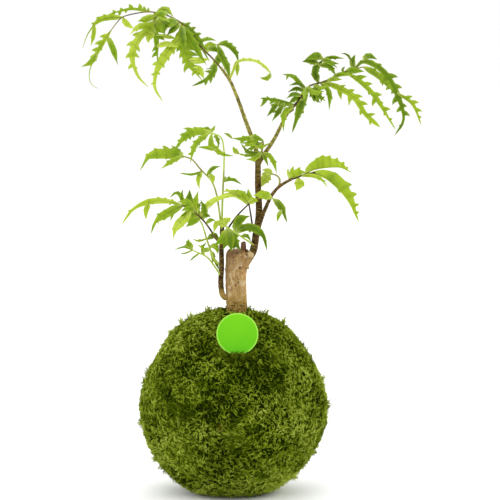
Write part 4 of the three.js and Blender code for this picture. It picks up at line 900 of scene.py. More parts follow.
             dict(tone=0.4, body=(1.0, 1.0), lobes=[(0.6, 1.8)])],
            [[(-24, 203.5), (-25.5, 209), (-30, 212)], -8, 2.6, 0,
             dict(tone=0.7, body=(0.7, 0.7), lobes=[(0.6, -1.6)])],
        ],
    },
    "frond_lower_back": {
        "tones": (0.4, 0.8), "whole": 0.65, "stalk": 0.15,
        "stems": [[(-10.2, 194, -3.5), (-16, 200.7, -1), (-21.8, 215.9, -2), (-26.9, 231, -5),
                   (-31.1, 234.4, -8)]],
        "leaflets": [
            [[(-18.5, 206.6), (-16.6, 202), (-17.6, 196)], 6, 3.2, 0, dict(lobes=[])],
            [[(-16, 201), (-13.5, 195), (-11.5, 190.5)], 3, 3.4, 0,
             dict(tone=0.3, body=(1.0, 1.0), lobes=[])],
            [[(-22.7, 217), (-28.6, 215), (-33.6, 216.7)], -8, 3.2, 10,
             dict(body=(0.7, 0.8), lobes=[(0.5, -2.0)])],
            [[(-22, 216), (-16, 219.5), (-10.5, 213)], 5, 4, 10, dict(tone=0.25, lobes=[(0.5, 2.6)])],
            [[(-20, 210), (-14.5, 210.5), (-12.5, 204)], -6, 3.8, 0, dict(tone=0.5, lobes=[(0.5, -2.6)])],
            [[(-19, 207), (-24, 207.5), (-26.5, 203)], 6, 3.4, 0, dict(tone=0.35, lobes=[])],
            [[(-30.2, 234), (-35.3, 235.2), (-39.5, 230)], 6, 4.5, 0, dict(lobes=[])],
        ],
    },
    "frond_centre": {
        "tones": (0.5, 0.85), "whole": 0.6, "stalk": 1.0,
        "stems": [
            [(20.4, 224, 1), (16.5, 228, -7), (15.1, 236, -10), (13.4, 246.1, -12)],
            [(-9.2, 218, -3), (-2.5, 228, -9), (4.2, 236.9, -11), (13.4, 246.1, -12)],
        ],
        "leaflets": [
            [[(12.6, 246), (7.6, 254.5), (0, 257.9)], -8, 7, 10, dict(tone=0.55)],
            [[(12.4, 245.5), (5.9, 252.6), (-3.4, 256.8), (-9.2, 256)], -5, 5, -20,
             dict(tone=0.8, body=(1.6, 1.8), lobes=[(0.55, -2.8), (0.7, 2.4), (0.85, -2.2)])],
            [[(12.4, 246), (2, 253.6), (-11, 251), (-21.5, 241)], -6, 4.6, 10,
             dict(tone=0.9, body=(1.7, 1.7), lobes=[(0.5, 2.2), (0.7, -2.4)])],
            [[(13.4, 246), (13.4, 252.8), (12.6, 258.7)], 4, 4.4, 0, dict(tone=0.5, lobes=[(0.6, 2.6)])],
            [[(13.4, 246), (10.5, 252), (10, 257)], 2, 3.4, 0, dict(tone=0.5, lobes=[])],
            [[(13.4, 246), (17.6, 249.5), (21, 248)], -5, 4.4, 0, dict(tone=0.7, lobes=[])],
        ],
    },
    "frond_stump_top": {
        "tones": (0.1, 0.4), "whole": 0.7, "stalk": 0.2,
        "stems": [[(17.6, 211, 0), (14.3, 214, -8), (8.4, 217.6, -13), (2.5, 221.8, -15),
                   (-6.7, 227.7, -13)]],
        "leaflets": [
            [[(-5, 226), (-5, 215.9), (-8.4, 207.5)], -8, 10, 10,
             dict(tone=0.25, body=(2.8, 2.8),
                  lobes=[(0.3, 4.4), (0.5, 5.4), (0.35, -4.4), (0.55, -5.0), (0.75, -4.2), (0.72, 4.4)])],
            [[(-1, 224), (1.7, 214.2), (6.7, 207)], -6, 8.5, -10,
             dict(tone=0.08, body=(2.8, 2.6),
                  lobes=[(0.35, 4.8), (0.3, -4.4), (0.52, -5.2), (0.6, 4.6), (0.75, -4.2)])],
            [[(-3, 225), (-2.5, 216), (-1, 206.5)], -10, 6.5, 0, dict(tone=0.15, lobes=[(0.6, -3.6)])],
            [[(-4, 225), (-9, 216), (-15.5, 212)], -6, 6, 0, dict(tone=0.35, lobes=[(0.5, 3.6)])],
            [[(2.5, 222.6), (12.6, 226.8), (24.4, 220.9), (28.6, 207)], -8, 8.5, 5,
             dict(tone=0.12, tail=0.2, tailHalf=1.3, body=(2.6, 2.8),
                  lobes=[(0.2, 4.6), (0.38, -4.8), (0.5, 3.4)])],
            [[(6.7, 219), (11.8, 219.5), (15.1, 214.5)], -10, 2.8, 0, dict(tone=0.2, lobes=[])],
            [[(1.5, 222.5), (5.9, 233), (14.6, 236)], -10, 8.5, 10,
             dict(tone=0.2, body=(3.0, 3.3), lobes=[(0.5, 3.6), (0.6, -3.6)])],
            [[(-5.9, 227), (-13, 230.4), (-16.4, 220.6)], -12, 4, 0, dict(tone=0.8, lobes=[])],
            [[(-5.9, 227), (-5.9, 231), (-1.7, 234.5)], -8, 5.4, 15, dict(tone=0.85, lobes=[(0.6, 2.8)])],
        ],
    },
}

blade = {
    "thickness": 0.34,
    "fold": 0.22,
    "droop": 0.16,
    "wave": 0.1,
    "waveTurn": 0.7,  # from one column of points to the next, in radians
    "tail": 0.12,
    "tailHalf": 0.6,
    "fullness": 1.2,
    "filling": (0.2, 0.35),  # shares of the length in which the blade fills out and narrows
    "fillBend": (0.6, 0.7),  # powers that round the blade off at its foot and its tip
    "tailBend": 0.7,
    "thinnest": 0.02,  # of the tail's width, at its very tip, before that power
    "rowsPerSide": 3,
    "plainStep": 4.0,  # longest stretch of edge without a column of points, in mm
    "lobeWidth": (2.0, 0.6, 5.8),  # least, share of its reach, most
    "lobeRoot": 0.8,  # share of the blade's half width that a lobe rises from
    "lobeLean": 0.6,  # share of the lobe's width that lies before its middle
    "lobeSweep": 0.72,
    "leastSweep": 0.5,
    "sweepBend": 1.3,
    # place in the lobe, share of its reach, share of its sweep towards the leaflet's tip, vein
    "lobeSteps": [(0.0, 0.0, 0.0, 0.0), (0.18, 0.5, 0.3, 0.3), (0.4, 0.86, 0.66, 0.8), (0.6, 1.0, 1.0, 1.0),
                  (0.78, 0.62, 0.5, 0.4), (1.0, 0.0, 0.0, 0.0)],
    "drawnLobes": {"spacing": 5.4, "most": 9, "tip": 0.75, "jitter": 0.18, "reach": (0.8, 1.15)},
    "rib": {"step": 3, "end": 0.97, "radii": (0.42, 0.14), "rise": 0.12, "bevel": 1},
    "stem": {"step": 2.5, "radii": (0.95, 0.6), "bevel": 3},
    "veinFade": 0.5,  # by the edge
    "paleBase": 5.0,  # each leaflet fades from pale to its own green over this many mm
    "tints": {
        "greens": [(0.0, (66, 94, 2)), (0.35, (107, 139, 14)), (0.7, (153, 175, 40)), (1.0, (182, 198, 82))],
        "edge": (170, 190, 52),
        "vein": (84, 114, 4),
        "stalk": [(0.1, (170, 192, 84)), (0.5, (132, 122, 58)), (0.9, (62, 42, 22))],
        "base": (196, 208, 112),
    },
}


def leafFrames(line, shares, roll):
    points = pointsAlong(line, shares)
    step = 0.01
    ahead, behind = np.minimum(shares + step, 1), np.maximum(shares - step, 0)
    tangents = unit(pointsAlong(line, ahead) - pointsAlong(line, behind))
    flat = unit(np.cross(tangents, viewDir))
    sides = flat * math.cos(roll) + np.cross(tangents, flat) * math.sin(roll)
    return points, sides, np.cross(sides, tangents)


def ripeness(share, tail, filling):
    # how full the blade is along its length, from 0 at both ends to 1
    ripe = min(max(share, 0) / (1 - tail), 1)
    footBend, tipBend = blade["fillBend"]
    return min(ripe / filling[0], 1) ** footBend * min((1 - ripe) / filling[1], 1) ** tipBend


def plainHalf(share, half, tail, tailHalf, filling):
    # the blade's half width where it has no lobe, down to the thin tip
    thinning = max(min((1 - share) / tail, 1), blade["thinnest"]) ** blade["tailBend"]
    return max(half * ripeness(share, tail, filling), tailHalf * thinning)


def drawLobes(length, half, tail, draw):
    # lobes for a leaflet that has none listed
    drawn = blade["drawnLobes"]
    count = min(max(round(length * (1 - tail) / drawn["spacing"]), 2), drawn["most"])
    spacing = (1 - tail) / count
    lobes = []
    for i in range(count):
        tip = (i + drawn["tip"] + draw.uniform(-drawn["jitter"], drawn["jitter"])) * spacing
        full = ripeness(min(tip * 0.9, 0.95), tail, blade["filling"])
        lobes.append((tip, half * draw.uniform(*drawn["reach"]) * full))
    return lobes


def edgeColumns(length, half, lobes, tail, tailHalf, broad, filling):
    # along one edge of a leaflet: place on the midrib, reach, sweep, vein
    least, share, most = blade["lobeWidth"]
    lean = blade["lobeLean"]
    spans = []
    for tip, reach in lobes:
        beyond = reach - half * blade["lobeRoot"]
        sweep = blade["lobeSweep"] * max(beyond, blade["leastSweep"]) / length
        width = min(max(least + share * beyond, least), most) * broad / length
        middle = max(tip - sweep, width / 2 + 0.01)
        spans.append([middle - width * lean, middle + width * (1 - lean), reach, sweep])
    spans.sort()
    for before, after in zip(spans, spans[1:]):
        if before[1] > after[0]:
            before[1] = after[0] = (before[1] + after[0]) / 2
    columns = []
    for start, end, reach, sweep in spans:
        for phase, rise, swept, vein in blade["lobeSteps"]:
            along = start + phase * (end - start)
            plain = plainHalf(along, half, tail, tailHalf, filling)
            columns.append((along, plain + rise * max(reach - plain, 0), swept * sweep, vein))
    for along in np.linspace(0, 1, max(round(length / blade["plainStep"]), 4) + 1):
        if not any(span[0] <= along <= span[1] for span in spans):
            columns.append((along, plainHalf(along, half, tail, tailHalf, filling), 0, 0))
    return np.array(sorted(columns)).T


def addLeaflet(line, width, rollDegrees, whole, tone, draw, tail=blade["tail"], tailHalf=blade["tailHalf"],
               body=None, lobes=None, broad=1, filling=blade["filling"]):
    length = lineLength(line) / mm
    roll = math.radians(rollDegrees)
    edges = []
    for i, hand in enumerate((1, -1)):
        full = width / 2
        half = body[i] if body else full * (whole if lobes is None else 1)
        if lobes is None:
            mine = drawLobes(length, full, tail, draw)
        else:
            mine = [(tip, abs(reach)) for tip, reach in lobes if reach * hand > 0]
        edges.append(edgeColumns(length, half * blade["fullness"], mine, tail, tailHalf, broad, filling))
    places = np.unique(np.round(np.concatenate([edges[0][0], edges[1][0]]), 4))
    places = np.clip(places, 0, 1)
    rows = blade["rowsPerSide"]
    deselectAll()
    bpy.ops.mesh.primitive_grid_add(x_subdivisions=len(places) - 1, y_subdivisions=2 * rows, size=2)
    leaf = bpy.context.object
    grid = readPoints(leaf)
    column = np.rint((grid[:, 0] + 1) / 2 * (len(places) - 1)).astype(int)
    row = np.rint(grid[:, 1] * rows).astype(int)
    outward = np.abs(row) / rows
    picked = np.where(row < 0, 1, 0)
    reach, sweep, vein = (np.stack([np.interp(places, edge[0], edge[i]) for edge in edges])[picked, column]
                          for i in (1, 2, 3))
    across = np.sign(row) * outward * reach
    forward = np.clip(places[column] + sweep * outward ** blade["sweepBend"], 0, 1)
    points, side, normal = leafFrames(line, forward, roll)
    wave = np.sin(column * blade["waveTurn"] + draw.uniform(0, 6)) * outward ** 2
    lift = np.abs(across) * (blade["fold"] + blade["droop"] * outward ** 2 + blade["wave"] * wave)
    writePoints(leaf, points + side * across[:, None] * mm + normal * lift[:, None] * mm)
    setAttribute(leaf, "edge", outward)
    setAttribute(leaf, "base", np.clip(1 - forward * length / blade["paleBase"], 0, 1))
    setAttribute(leaf, "vein", vein * (1 - outward * blade["veinFade"]))
    applyModifier(leaf, "thick", "SOLIDIFY", thickness=blade["thickness"] * mm, offset=0)
    rib = blade["rib"]
    shares = np.linspace(0, rib["end"], max(6, round(length / rib["step"])))
    ribPoints, _, under = leafFrames(line, shares, roll)
    radii = np.interp(shares, (0, 1), rib["radii"]) * mm
    midrib = addTube("rib", ribPoints + under * rib["rise"] * mm, radii, rib["bevel"])
    for part, stalk in ((leaf, 0.0), (midrib, 0.5)):
        setAttribute(part, "tone", tone)
        setAttribute(part, "stalk", stalk)
    return [leaf, midrib]


def nearestOn(lines, across, up):
    # the place on the lines that shows nearest to a point of the front view
    perLine = 61
    spots = np.vstack([pointsAlong(line, np.linspace(0, 1, perLine)) for line in lines])
    shownUp = (spots[:, 2] * math.cos(layout["tilt"]) + spots[:, 1] * math.sin(layout["tilt"])) / mm
    gaps = np.hypot(spots[:, 0] / mm - across, shownUp + layout["edgeDrop"] - up)
    return spots[gaps.argmin()]


def leafletLine(lines, row, reach):
    base = nearestOn(lines, *row[0])
    points = [base]
    for i, (across, up) in enumerate(row[1:], 1):
        points.append(place((across, up, base[1] / mm + reach * i / (len(row) - 1))))
    return lineThrough(points)


def camelName(node):
    first, *others = node.split("_")
    return first + "".join(word.capitalize() for word in others)


def makeFrond(node, frond, seed, look):
    draw = random.Random(seed)
    stem = blade["stem"]
    lines = [lineThrough([place(point) for point in points]) for points in frond["stems"]]
    parts = []
    for line in lines:
        shares = np.linspace(0, 1, max(8, round(lineLength(line) / mm / stem["step"])))
        radii = np.interp(shares, (0, 1), frond.get("stemRadii", stem["radii"])) * mm
        tube = addTube("stem", pointsAlong(line, shares), radii, stem["bevel"])
        setAttribute(tube, "tone", draw.random())
        setAttribute(tube, "stalk", 1.0)
        parts.append(tube)
    for row, reach, width, roll, details in frond["leaflets"]:
        line = leafletLine(lines, row, reach)
        details = {"tone": draw.uniform(*frond["tones"]), **details}
        details["tone"] += frond.get("lift", 0)
        parts += addLeaflet(line, width, roll, frond["whole"], draw=draw, **details)
        lines.append(line)
    leafy = joinParts(camelName(node), parts)
    applyPlace(leafy)
    setAttribute(leafy, "brown", frond["stalk"])
    smoothByAngle(leafy, 50)
    finishPiece(leafy, look, "leaf", node)


def leafLook():
    look = Look("leafBlade", 0.5, 0.12)
    tints = blade["tints"]
    # painted light: each leaflet's tone picks a shaded or a lit-through green
    tone = look.math("ADD", look.attribute("tone"), look.spread(look.noise(70, 3), 0.25, 0.75, -0.16, 0.16))
    green = look.ramp(tone, tints["greens"])
    green = look.over(green, look.spread(look.attribute("edge"), 0.3, 1.0), tints["edge"], 0.35)
    green = look.over(green, look.attribute("vein"), tints["vein"], 0.3)
    green = look.over(green, look.attribute("base"), tints["base"], 0.75)
    brown = look.math("ADD", look.attribute("brown"), look.spread(look.noise(60, 2), 0.3, 0.7, -0.25, 0.25))
    wood = look.ramp(brown, tints["stalk"])
    stalk = look.attribute("stalk")
    colour = look.mix(look.spread(stalk, 0, 0.5), green, look.mix(0.5, green, wood))
    colour = look.mix(look.spread(stalk, 0.5, 1), colour, wood)
    look.set(look.shader, "Subsurface Weight", 0.25)
    look.set(look.shader, "Subsurface Radius", (1.0, 1.0, 0.2))
    look.set(look.shader, "Subsurface Scale", 0.001)
    look.bump(look.noise(900, 3, 0.6), 0.15, 0.0003)
    return look.finish(colour)


# label tag: a disc with a raised rim, on a pick

tag = {
    "radius": 17.4,
    "thickness": 1.4,
    "sides": 96,
    "tilt": math.radians(15),
    "centre": (3.8, -56.5, 143.6),
    "rim": 0.9,
    "rimRise": 0.22,
    "rimSlope": 0.25,
    # width over which the painted rim highlight fades in
    "rimHighlightFade": 0.3,
    "dish": {"rings": 4, "share": 0.18, "sink": 0.03},  # rings of faces that round the face a little
    "edgeRound": 0.16,
    "pick": {"width": 5, "length": 30, "overlap": 2, "point": 8, "thickness": 0.9, "tip": 0.12,
             "edgeRound": 0.2},
    # painted light: the face turns lighter towards the top of the tag
    "lighter": (127, 161),  # heights between which the face turns lighter
    # the rim tint is a painted highlight along the raised rim
    "tints": {"face": [(0.1, (84, 174, 0)), (0.9, (108, 190, 8))], "rim": (168, 226, 84)},
}


def seenFromTag(points):
    # across, towards the front and upward from the middle of the tag, which leans back
    x, y, z = np.moveaxis(points - np.array(tag["centre"]), -1, 0)
    front = -y * math.cos(tag["tilt"]) + z * math.sin(tag["tilt"])
    upward = y * math.sin(tag["tilt"]) + z * math.cos(tag["tilt"])
    return x, front, upward


def makeTag():
    disc = tag["radius"] * mm
    dish, pick = tag["dish"], tag["pick"]
    deselectAll()
    bpy.ops.mesh.primitive_cylinder_add(vertices=tag["sides"], radius=disc, depth=tag["thickness"] * mm)
    face = bpy.context.object
    editFacesTowards(face, Vector((0, 0, 1)))
    bpy.ops.mesh.inset(thickness=tag["rim"] * mm, depth=0)
    bpy.ops.mesh.inset(thickness=tag["rimSlope"] * mm, depth=-tag["rimRise"] * mm)
    for _ in range(dish["rings"]):
        bpy.ops.mesh.inset(thickness=disc * dish["share"], depth=dish["sink"] * mm)
    bpy.ops.object.mode_set(mode="OBJECT")
    applyModifier(face, "round", "BEVEL", width=tag["edgeRound"] * mm, segments=3, limit_method="ANGLE",
                  angle_limit=math.radians(40))
    straight = pick["length"] - pick["point"]
    deselectAll()
    bpy.ops.mesh.primitive_cube_add(
        size=1,
        location=(0, -disc - (straight - pick["overlap"]) / 2 * mm, 0),
        scale=(pick["width"] * mm, (straight + pick["overlap"]) * mm, pick["thickness"] * mm),
    )
    strip = bpy.context.object
    applyPlace(strip)
    editFacesTowards(strip, Vector((0, -1, 0)))
    end = (0, -disc - pick["length"] * mm, 0)
    bpy.ops.mesh.extrude_region_move(TRANSFORM_OT_translate={"value": (0, -pick["point"] * mm, 0)})
    bpy.ops.transform.resize(value=(pick["tip"], 1, 1), center_override=end)
    bpy.ops.object.mode_set(mode="OBJECT")
    applyModifier(strip, "round", "BEVEL", width=pick["edgeRound"] * mm, segments=2, limit_method="ANGLE")
    label = joinParts("labelTag", [face, strip])
    label.matrix_world = (Matrix.Translation(Vector(tag["centre"]) * mm)
                          @ Matrix.Rotation(math.pi / 2 - tag["tilt"], 4, "X"))
    applyPlace(label)
    smoothByAngle(label, 35)
    across, front, upward = seenFromTag(readPoints(label) / mm)
    # painted highlight: a paler band over the raised rim
    rimHighlight = (np.hypot(across, upward) - tag["radius"] + tag["rim"] + tag["rimHighlightFade"]) / tag["rimHighlightFade"]
    setAttribute(label, "rim", np.clip(rimHighlight, 0, 1))
    finishPiece(label, tagLook(), "tag", "label_tag")


def tagLook():
    look = Look("tagPlastic", 0.3, 0.15)
    tints = tag["tints"]
    clouds = look.spread(look.noise(60, 2, 0.5), 0.3, 0.7, -0.1, 0.1)
    # painted light: the face is lighter towards its top
    upward = look.zone(look.axis("Z"), tag["lighter"])
    face = look.ramp(look.math("ADD", clouds, upward), tints["face"])
    look.set(look.shader, "Roughness", look.spread(look.noise(700, 3), 0.3, 0.7, 0.26, 0.36))
    look.set(look.shader, "Coat Weight", 0.06)
    look.set(look.shader, "Coat Roughness", 0.15)
    look.bump(look.noise(260, 2), 0.05, 0.0003)
    # the paler rim is a painted highlight
    return look.finish(look.over(face, look.attribute("rim"), tints["rim"], 0.6))


# soil: the plain ball inside, which keeps its own shape

soilTints = [(0.3, (34, 22, 14)), (0.7, (82, 60, 40))]


def soilLook():
    look = Look("pottingSoil", 0.95)
    look.bump(look.noise(500, 5, 0.7), 0.8, 0.001)
    return look.finish(look.ramp(look.noise(260, 5, 0.7), soilTints))


# moss: a lumpy body, painted dark as the shade deep among the strands, with strands laid over it

ball = {
    "radius": 80.0,
    "centre": 76.5,
    "lump": 1.2,
    "footBulge": 0.028,
    "footAngle": -1.15,
    "footSpread": 0.5,
    "flankDip": 0.046,
    "flankAngle": 0.5,
    "flankSpread": 0.36,
    "bodyDepth": 2.6,  # the body lies this far under the strands' outer surface
    "bodyDetail": 6,
    "bodyGrain": [(22, 1.1), (46, 0.8)],  # noise scale, rise
    "floorGap": 0.1,
}
strands = {
    "layers": [  # name, how many, scale range, depth, pitch range in degrees, brightness, seed
        # painted shade: the deeper layers are given lower brightness
        ("mossUnder", 8600, (0.9, 1.4), 1.9, (-4, 8), (0.0, 0.45), 11),
        ("mossMiddle", 8800, (0.85, 1.35), 1.0, (-2, 12), (0.15, 0.8), 12),
        ("mossOuter", 8800, (0.75, 1.25), 0.2, (0, 16), (0.35, 1.0), 13),
    ],
    "sprigs": ("mossSprigs", 3000, (0.5, 0.95), 0.8, (4, 36), (0.3, 0.95), 21),
    "tufts": [  # the same, with how many for each tuft; then across, up and depth of the tufts
        (("mossTufts", 10, (0.8, 1.35), 1.2, (35, 80), (0.3, 0.8), 22),  # along the outline's top
         [(16, 163, 0), (28.6, 159, 0), (-33.6, 149, 0), (-41, 144.5, 0), (-20, 154, 0), (42, 148, 0)]),
        (("mossAtSides", 12, (0.6, 1.1), 0.9, (15, 60), (0.3, 0.9), 24),  # down both sides
         [(-50, 136, 0), (-77, 107, 0), (-78.5, 98, 0), (-79, 60, 0), (-67, 29, 0), (-59, 22, 0),
          (79, 77, 0), (74, 98, 0), (65, 115, 0), (60.5, 126, 0), (69, 34, 0), (53, 12, 0)]),
        (("mossAtTag", 22, (0.55, 0.9), -1.0, (-5, 40), (0.1, 0.7), 23),  # in front of the tag's foot
         [(-11, 122.6, -60), (-8, 121.6, -61), (-5, 120.8, -62), (-2, 119.6, -62.5), (1, 118.2, -63),
          (4, 117.6, -63.5), (7, 118.2, -63), (10, 119.8, -62), (13, 121.2, -61), (16, 122.4, -60),
          (3.5, 114.6, -66)]),
    ],
    "tuftSpread": 0.022,
    "length": 4.4,
    "thickness": 0.8,
    "bends": [(0, 50, 60, -70), (30, -60, -50, 80), (-20, 70, 60, 50), (10, -60, 80, -70)],
    "growth": (1.1, 0.8),  # how a strand's width changes at its first step, and at each later one
    "curlSide": 80,  # most strands curl sideways along the ball, in degrees of roll
    "rollSpread": 26,
    "swirl": 18.0,  # size of the patches that are combed one way
    "stray": 60,  # how far a strand turns from its patch, in degrees
    "rooted": 0.4,  # share of a strand that lies behind its place
    "loosening": 1.6,  # how far the places leave their even spiral
    "depthSpread": 1.0,
    "clump": 7.0,  # size of the clumps with darker gaps between them
    "clumpRise": 1.0,
    # painted shade: strands sunk in the gaps between clumps are darker
    "clumpShading": 0.4,
    # painted shade: strands darken towards their roots, down among the others
    "rootShading": 0.55,  # brightness at the root, as a share of that at the tip
    # painted light and shade: patches of added or taken brightness on the ball
    "paintedLightSpots": [  # across, up, size, added brightness
        (42, 14, 16, 0.38), (55, 33, 9, -0.25), (0, 8, 34, 0.26), (-24, 7, 12, 0.36), (2, 50, 12, -0.44),
        (39, 67, 14, 0.36), (66, 60, 16, 0.12), (-66, 50, 13, 0.32), (-27, 67, 11, 0.52),
        (-44, 85, 13, -0.48), (-60, 102, 10, -0.3), (-66, 90, 26, -0.1), (37, 108, 11, -0.52),
        (56, 113, 11, 0.32), (62, 98, 20, 0.1), (10, 122, 13, -0.3), (-24, 113, 12, 0.36),
        (-46, 119, 9, -0.22), (0, 150, 24, 0.12), (24, 88, 9, 0.3), (-22, 150, 9, 0.14),
        (13, 97, 9, 0.25), (16, 68, 9, -0.25),
    ],
    "clear": {"floor": 0.15, "trunk": 0.2, "tagEdge": 0.4, "tagFront": (-1.0, 20),
              "tagFoot": -13.4},  # moss may hide the tag below this, from its middle
    "tints": {
        "greens": [(0.0, (28, 39, 2)), (0.3, (88, 107, 12)), (0.6, (142, 161, 42)), (1.0, (190, 205, 86))],
        "yellow": (150, 165, 30),
        "brown": (92, 76, 26),
    },
}
sprig = {
    "bends": (0, 12, 16, 20),
    "spine": [(0, 0, 0), (1.65, 0, 0), (3.3, 0, 0.3), (4.8, 0, 1.0), (6.1, 0, 2.2)],
    "leaves": 6,
    "leafPlaces": (0.2, 0.7),  # of the two leaves on each span of the spine
    "leafRadius": 0.42,
    "leafLength": (2.4, 0.25),  # the first leaf's, and how much shorter each next one is
    "leafAim": (0.75, 0.8, 0.25),
    "leafRoot": 0.42,  # share of a leaf's length from the spine to its middle
}


def ballRadius(directions):
    # gentle lumps, a fuller foot and slimmer shoulders at the sides
    x, y, z = directions.T
    broad = np.sin(3.1 * x + 1.3) * np.sin(2.7 * y + 0.4) + np.sin(3.7 * z + 2.1 * x)
    fine = np.sin(8.3 * x + 2) * np.sin(7.9 * y + 1) * np.sin(7.1 * z + 0.5)
    slope = np.arcsin(np.clip(z, -1, 1))
    bulge = ball["footBulge"] * np.exp(-((slope - ball["footAngle"]) / ball["footSpread"]) ** 2)
    dip = ball["flankDip"] * np.exp(-((slope - ball["flankAngle"]) / ball["flankSpread"]) ** 2)
    dip *= x ** 2 / np.maximum(x ** 2 + y ** 2, 1e-6)  # only at the sides
    return ball["radius"] * (1 + bulge - dip) + ball["lump"] * (0.5 * broad + 0.8 * fine)


def noiseAt(directions, scale):
    return np.array([noise.noise(Vector(d * scale)) for d in directions])


def makeMossShadeBody(look):
    deselectAll()
    bpy.ops.mesh.primitive_ico_sphere_add(subdivisions=ball["bodyDetail"], radius=1)
    body = bpy.context.object
    body.name = body.data.name = "mossShadeBody"
    directions = unit(readPoints(body))
    radius = ballRadius(directions) - ball["bodyDepth"]
    radius += sum(rise * noiseAt(directions, scale) for scale, rise in ball["bodyGrain"])
    points = directions * radius[:, None]
    points[:, 2] = np.maximum(points[:, 2] + ball["centre"], ball["floorGap"])
    writePoints(body, points * mm)
    smoothByAngle(body, 60)
    # painted shade: the body takes the darkest moss green
    setAttribute(body, "bright", 0.0)
    finishPiece(body, look, "moss", "moss_wrap")


def modelStrand(bends):
    # a tapering strand, extruded and bent step by step
    first, later = strands["growth"]
    deselectAll()
    bpy.ops.mesh.primitive_circle_add(vertices=3, radius=strands["thickness"] / 2, fill_type="NGON",
                                      rotation=(0, math.pi / 2, 0))
    strand = bpy.context.object
    applyPlace(strand)
    startEditing(strand)
    spot, heading = Vector((0, 0, 0)), 0.0
    for i, bend in enumerate(bends):
        heading += math.radians(bend)
        move = Vector((math.cos(heading), 0, math.sin(heading))) * strands["length"] / len(bends)
        spot += move
        bpy.ops.mesh.extrude_region_move(TRANSFORM_OT_translate={"value": move})
        bpy.ops.transform.rotate(value=math.radians(bend), orient_axis="Y", center_override=spot)
        bpy.ops.transform.resize(value=[later if i else first] * 3, center_override=spot)
    bpy.ops.mesh.merge(type="CENTER")
    stopEditing()
    return strand


def modelSprig():
    # a strand with small pointed leaves on both sides
    parts = [modelStrand(sprig["bends"])]
    spine = [Vector(point) for point in sprig["spine"]]
    longest, shortening = sprig["leafLength"]
    for i in range(sprig["leaves"]):
        step, second = divmod(i, 2)
        spot = spine[1 + step].lerp(spine[2 + step], sprig["leafPlaces"][second])
        size = longest - shortening * i
        bpy.ops.mesh.primitive_cone_add(vertices=3, radius1=sprig["leafRadius"], radius2=0, depth=size)
        leaf = bpy.context.object
        forward, side, rise = sprig["leafAim"]
        aim = Vector((forward, side if second else -side, rise)).normalized()
        turn = aim.to_track_quat("Z", "Y").to_matrix().to_4x4()
        leaf.matrix_world = Matrix.Translation(spot + aim * size * sprig["leafRoot"]) @ turn
        applyPlace(leaf)
        parts.append(leaf)
    return joinParts("sprig", parts)


def takeShape(model):
    # the model's points and triangles; the model itself goes
    startEditing(model)
    bpy.ops.mesh.quads_convert_to_tris()
    bpy.ops.object.mode_set(mode="OBJECT")
    points = readPoints(model)
    triangles = np.array([list(face.vertices) for face in model.data.polygons])
    bpy.data.objects.remove(model)
    return points, triangles


def ballSpots(count, draw):
    # an even spiral over the ball, loosened a little
    i = np.arange(count) + 0.5
    turn = math.pi * (1 + 5 ** 0.5) * i
    z = 1 - 2 * i / count
    flat = np.sqrt(1 - z ** 2)
    spots = np.stack([flat * np.cos(turn), flat * np.sin(turn), z], axis=1)
    return unit(spots + draw.normal(0, strands["loosening"] / math.sqrt(count), spots.shape))


def tuftSpots(tufts, perTuft, draw):
    # close groups of places on the ball
    spots = [place(tuft) / mm - (0, 0, ball["centre"]) for tuft in tufts]
    spots = unit(np.repeat(np.array(spots), perTuft, axis=0))
    return unit(spots + draw.normal(0, strands["tuftSpread"], spots.shape))


def keepClear(placed):
    # strands that stay off the floor, the trunk and the face of the tag
    clear = strands["clear"]
    x, y, z = np.moveaxis(placed, -1, 0)
    kept = z.min(1) > clear["floor"]
    radius, shift = trunkProfile(z)
    kept &= (np.hypot(x - shift, y) > radius + clear["trunk"]).all(1)
    across, front, upward = seenFromTag(placed)
    shown = (np.hypot(across, upward) < tag["radius"] + clear["tagEdge"]) & (upward > clear["tagFoot"])
    nearest, furthest = clear["tagFront"]
    return kept & ~(shown & (front > nearest) & (front < furthest)).any(1)


def paintLightAndShade(directions):
    # painted light and shade: brighter and darker patches, placed on the front view
    shown = directions * ball["radius"] + (0, 0, ball["centre"])
    added = np.zeros(len(directions))
    for across, up, size, amount in strands["paintedLightSpots"]:
        spot = place((across, up, 0)) / mm
        away = np.hypot(shown[:, 0] - spot[0], shown[:, 2] - spot[2]) / size
        added += amount * np.exp(-away ** 2)
    return added


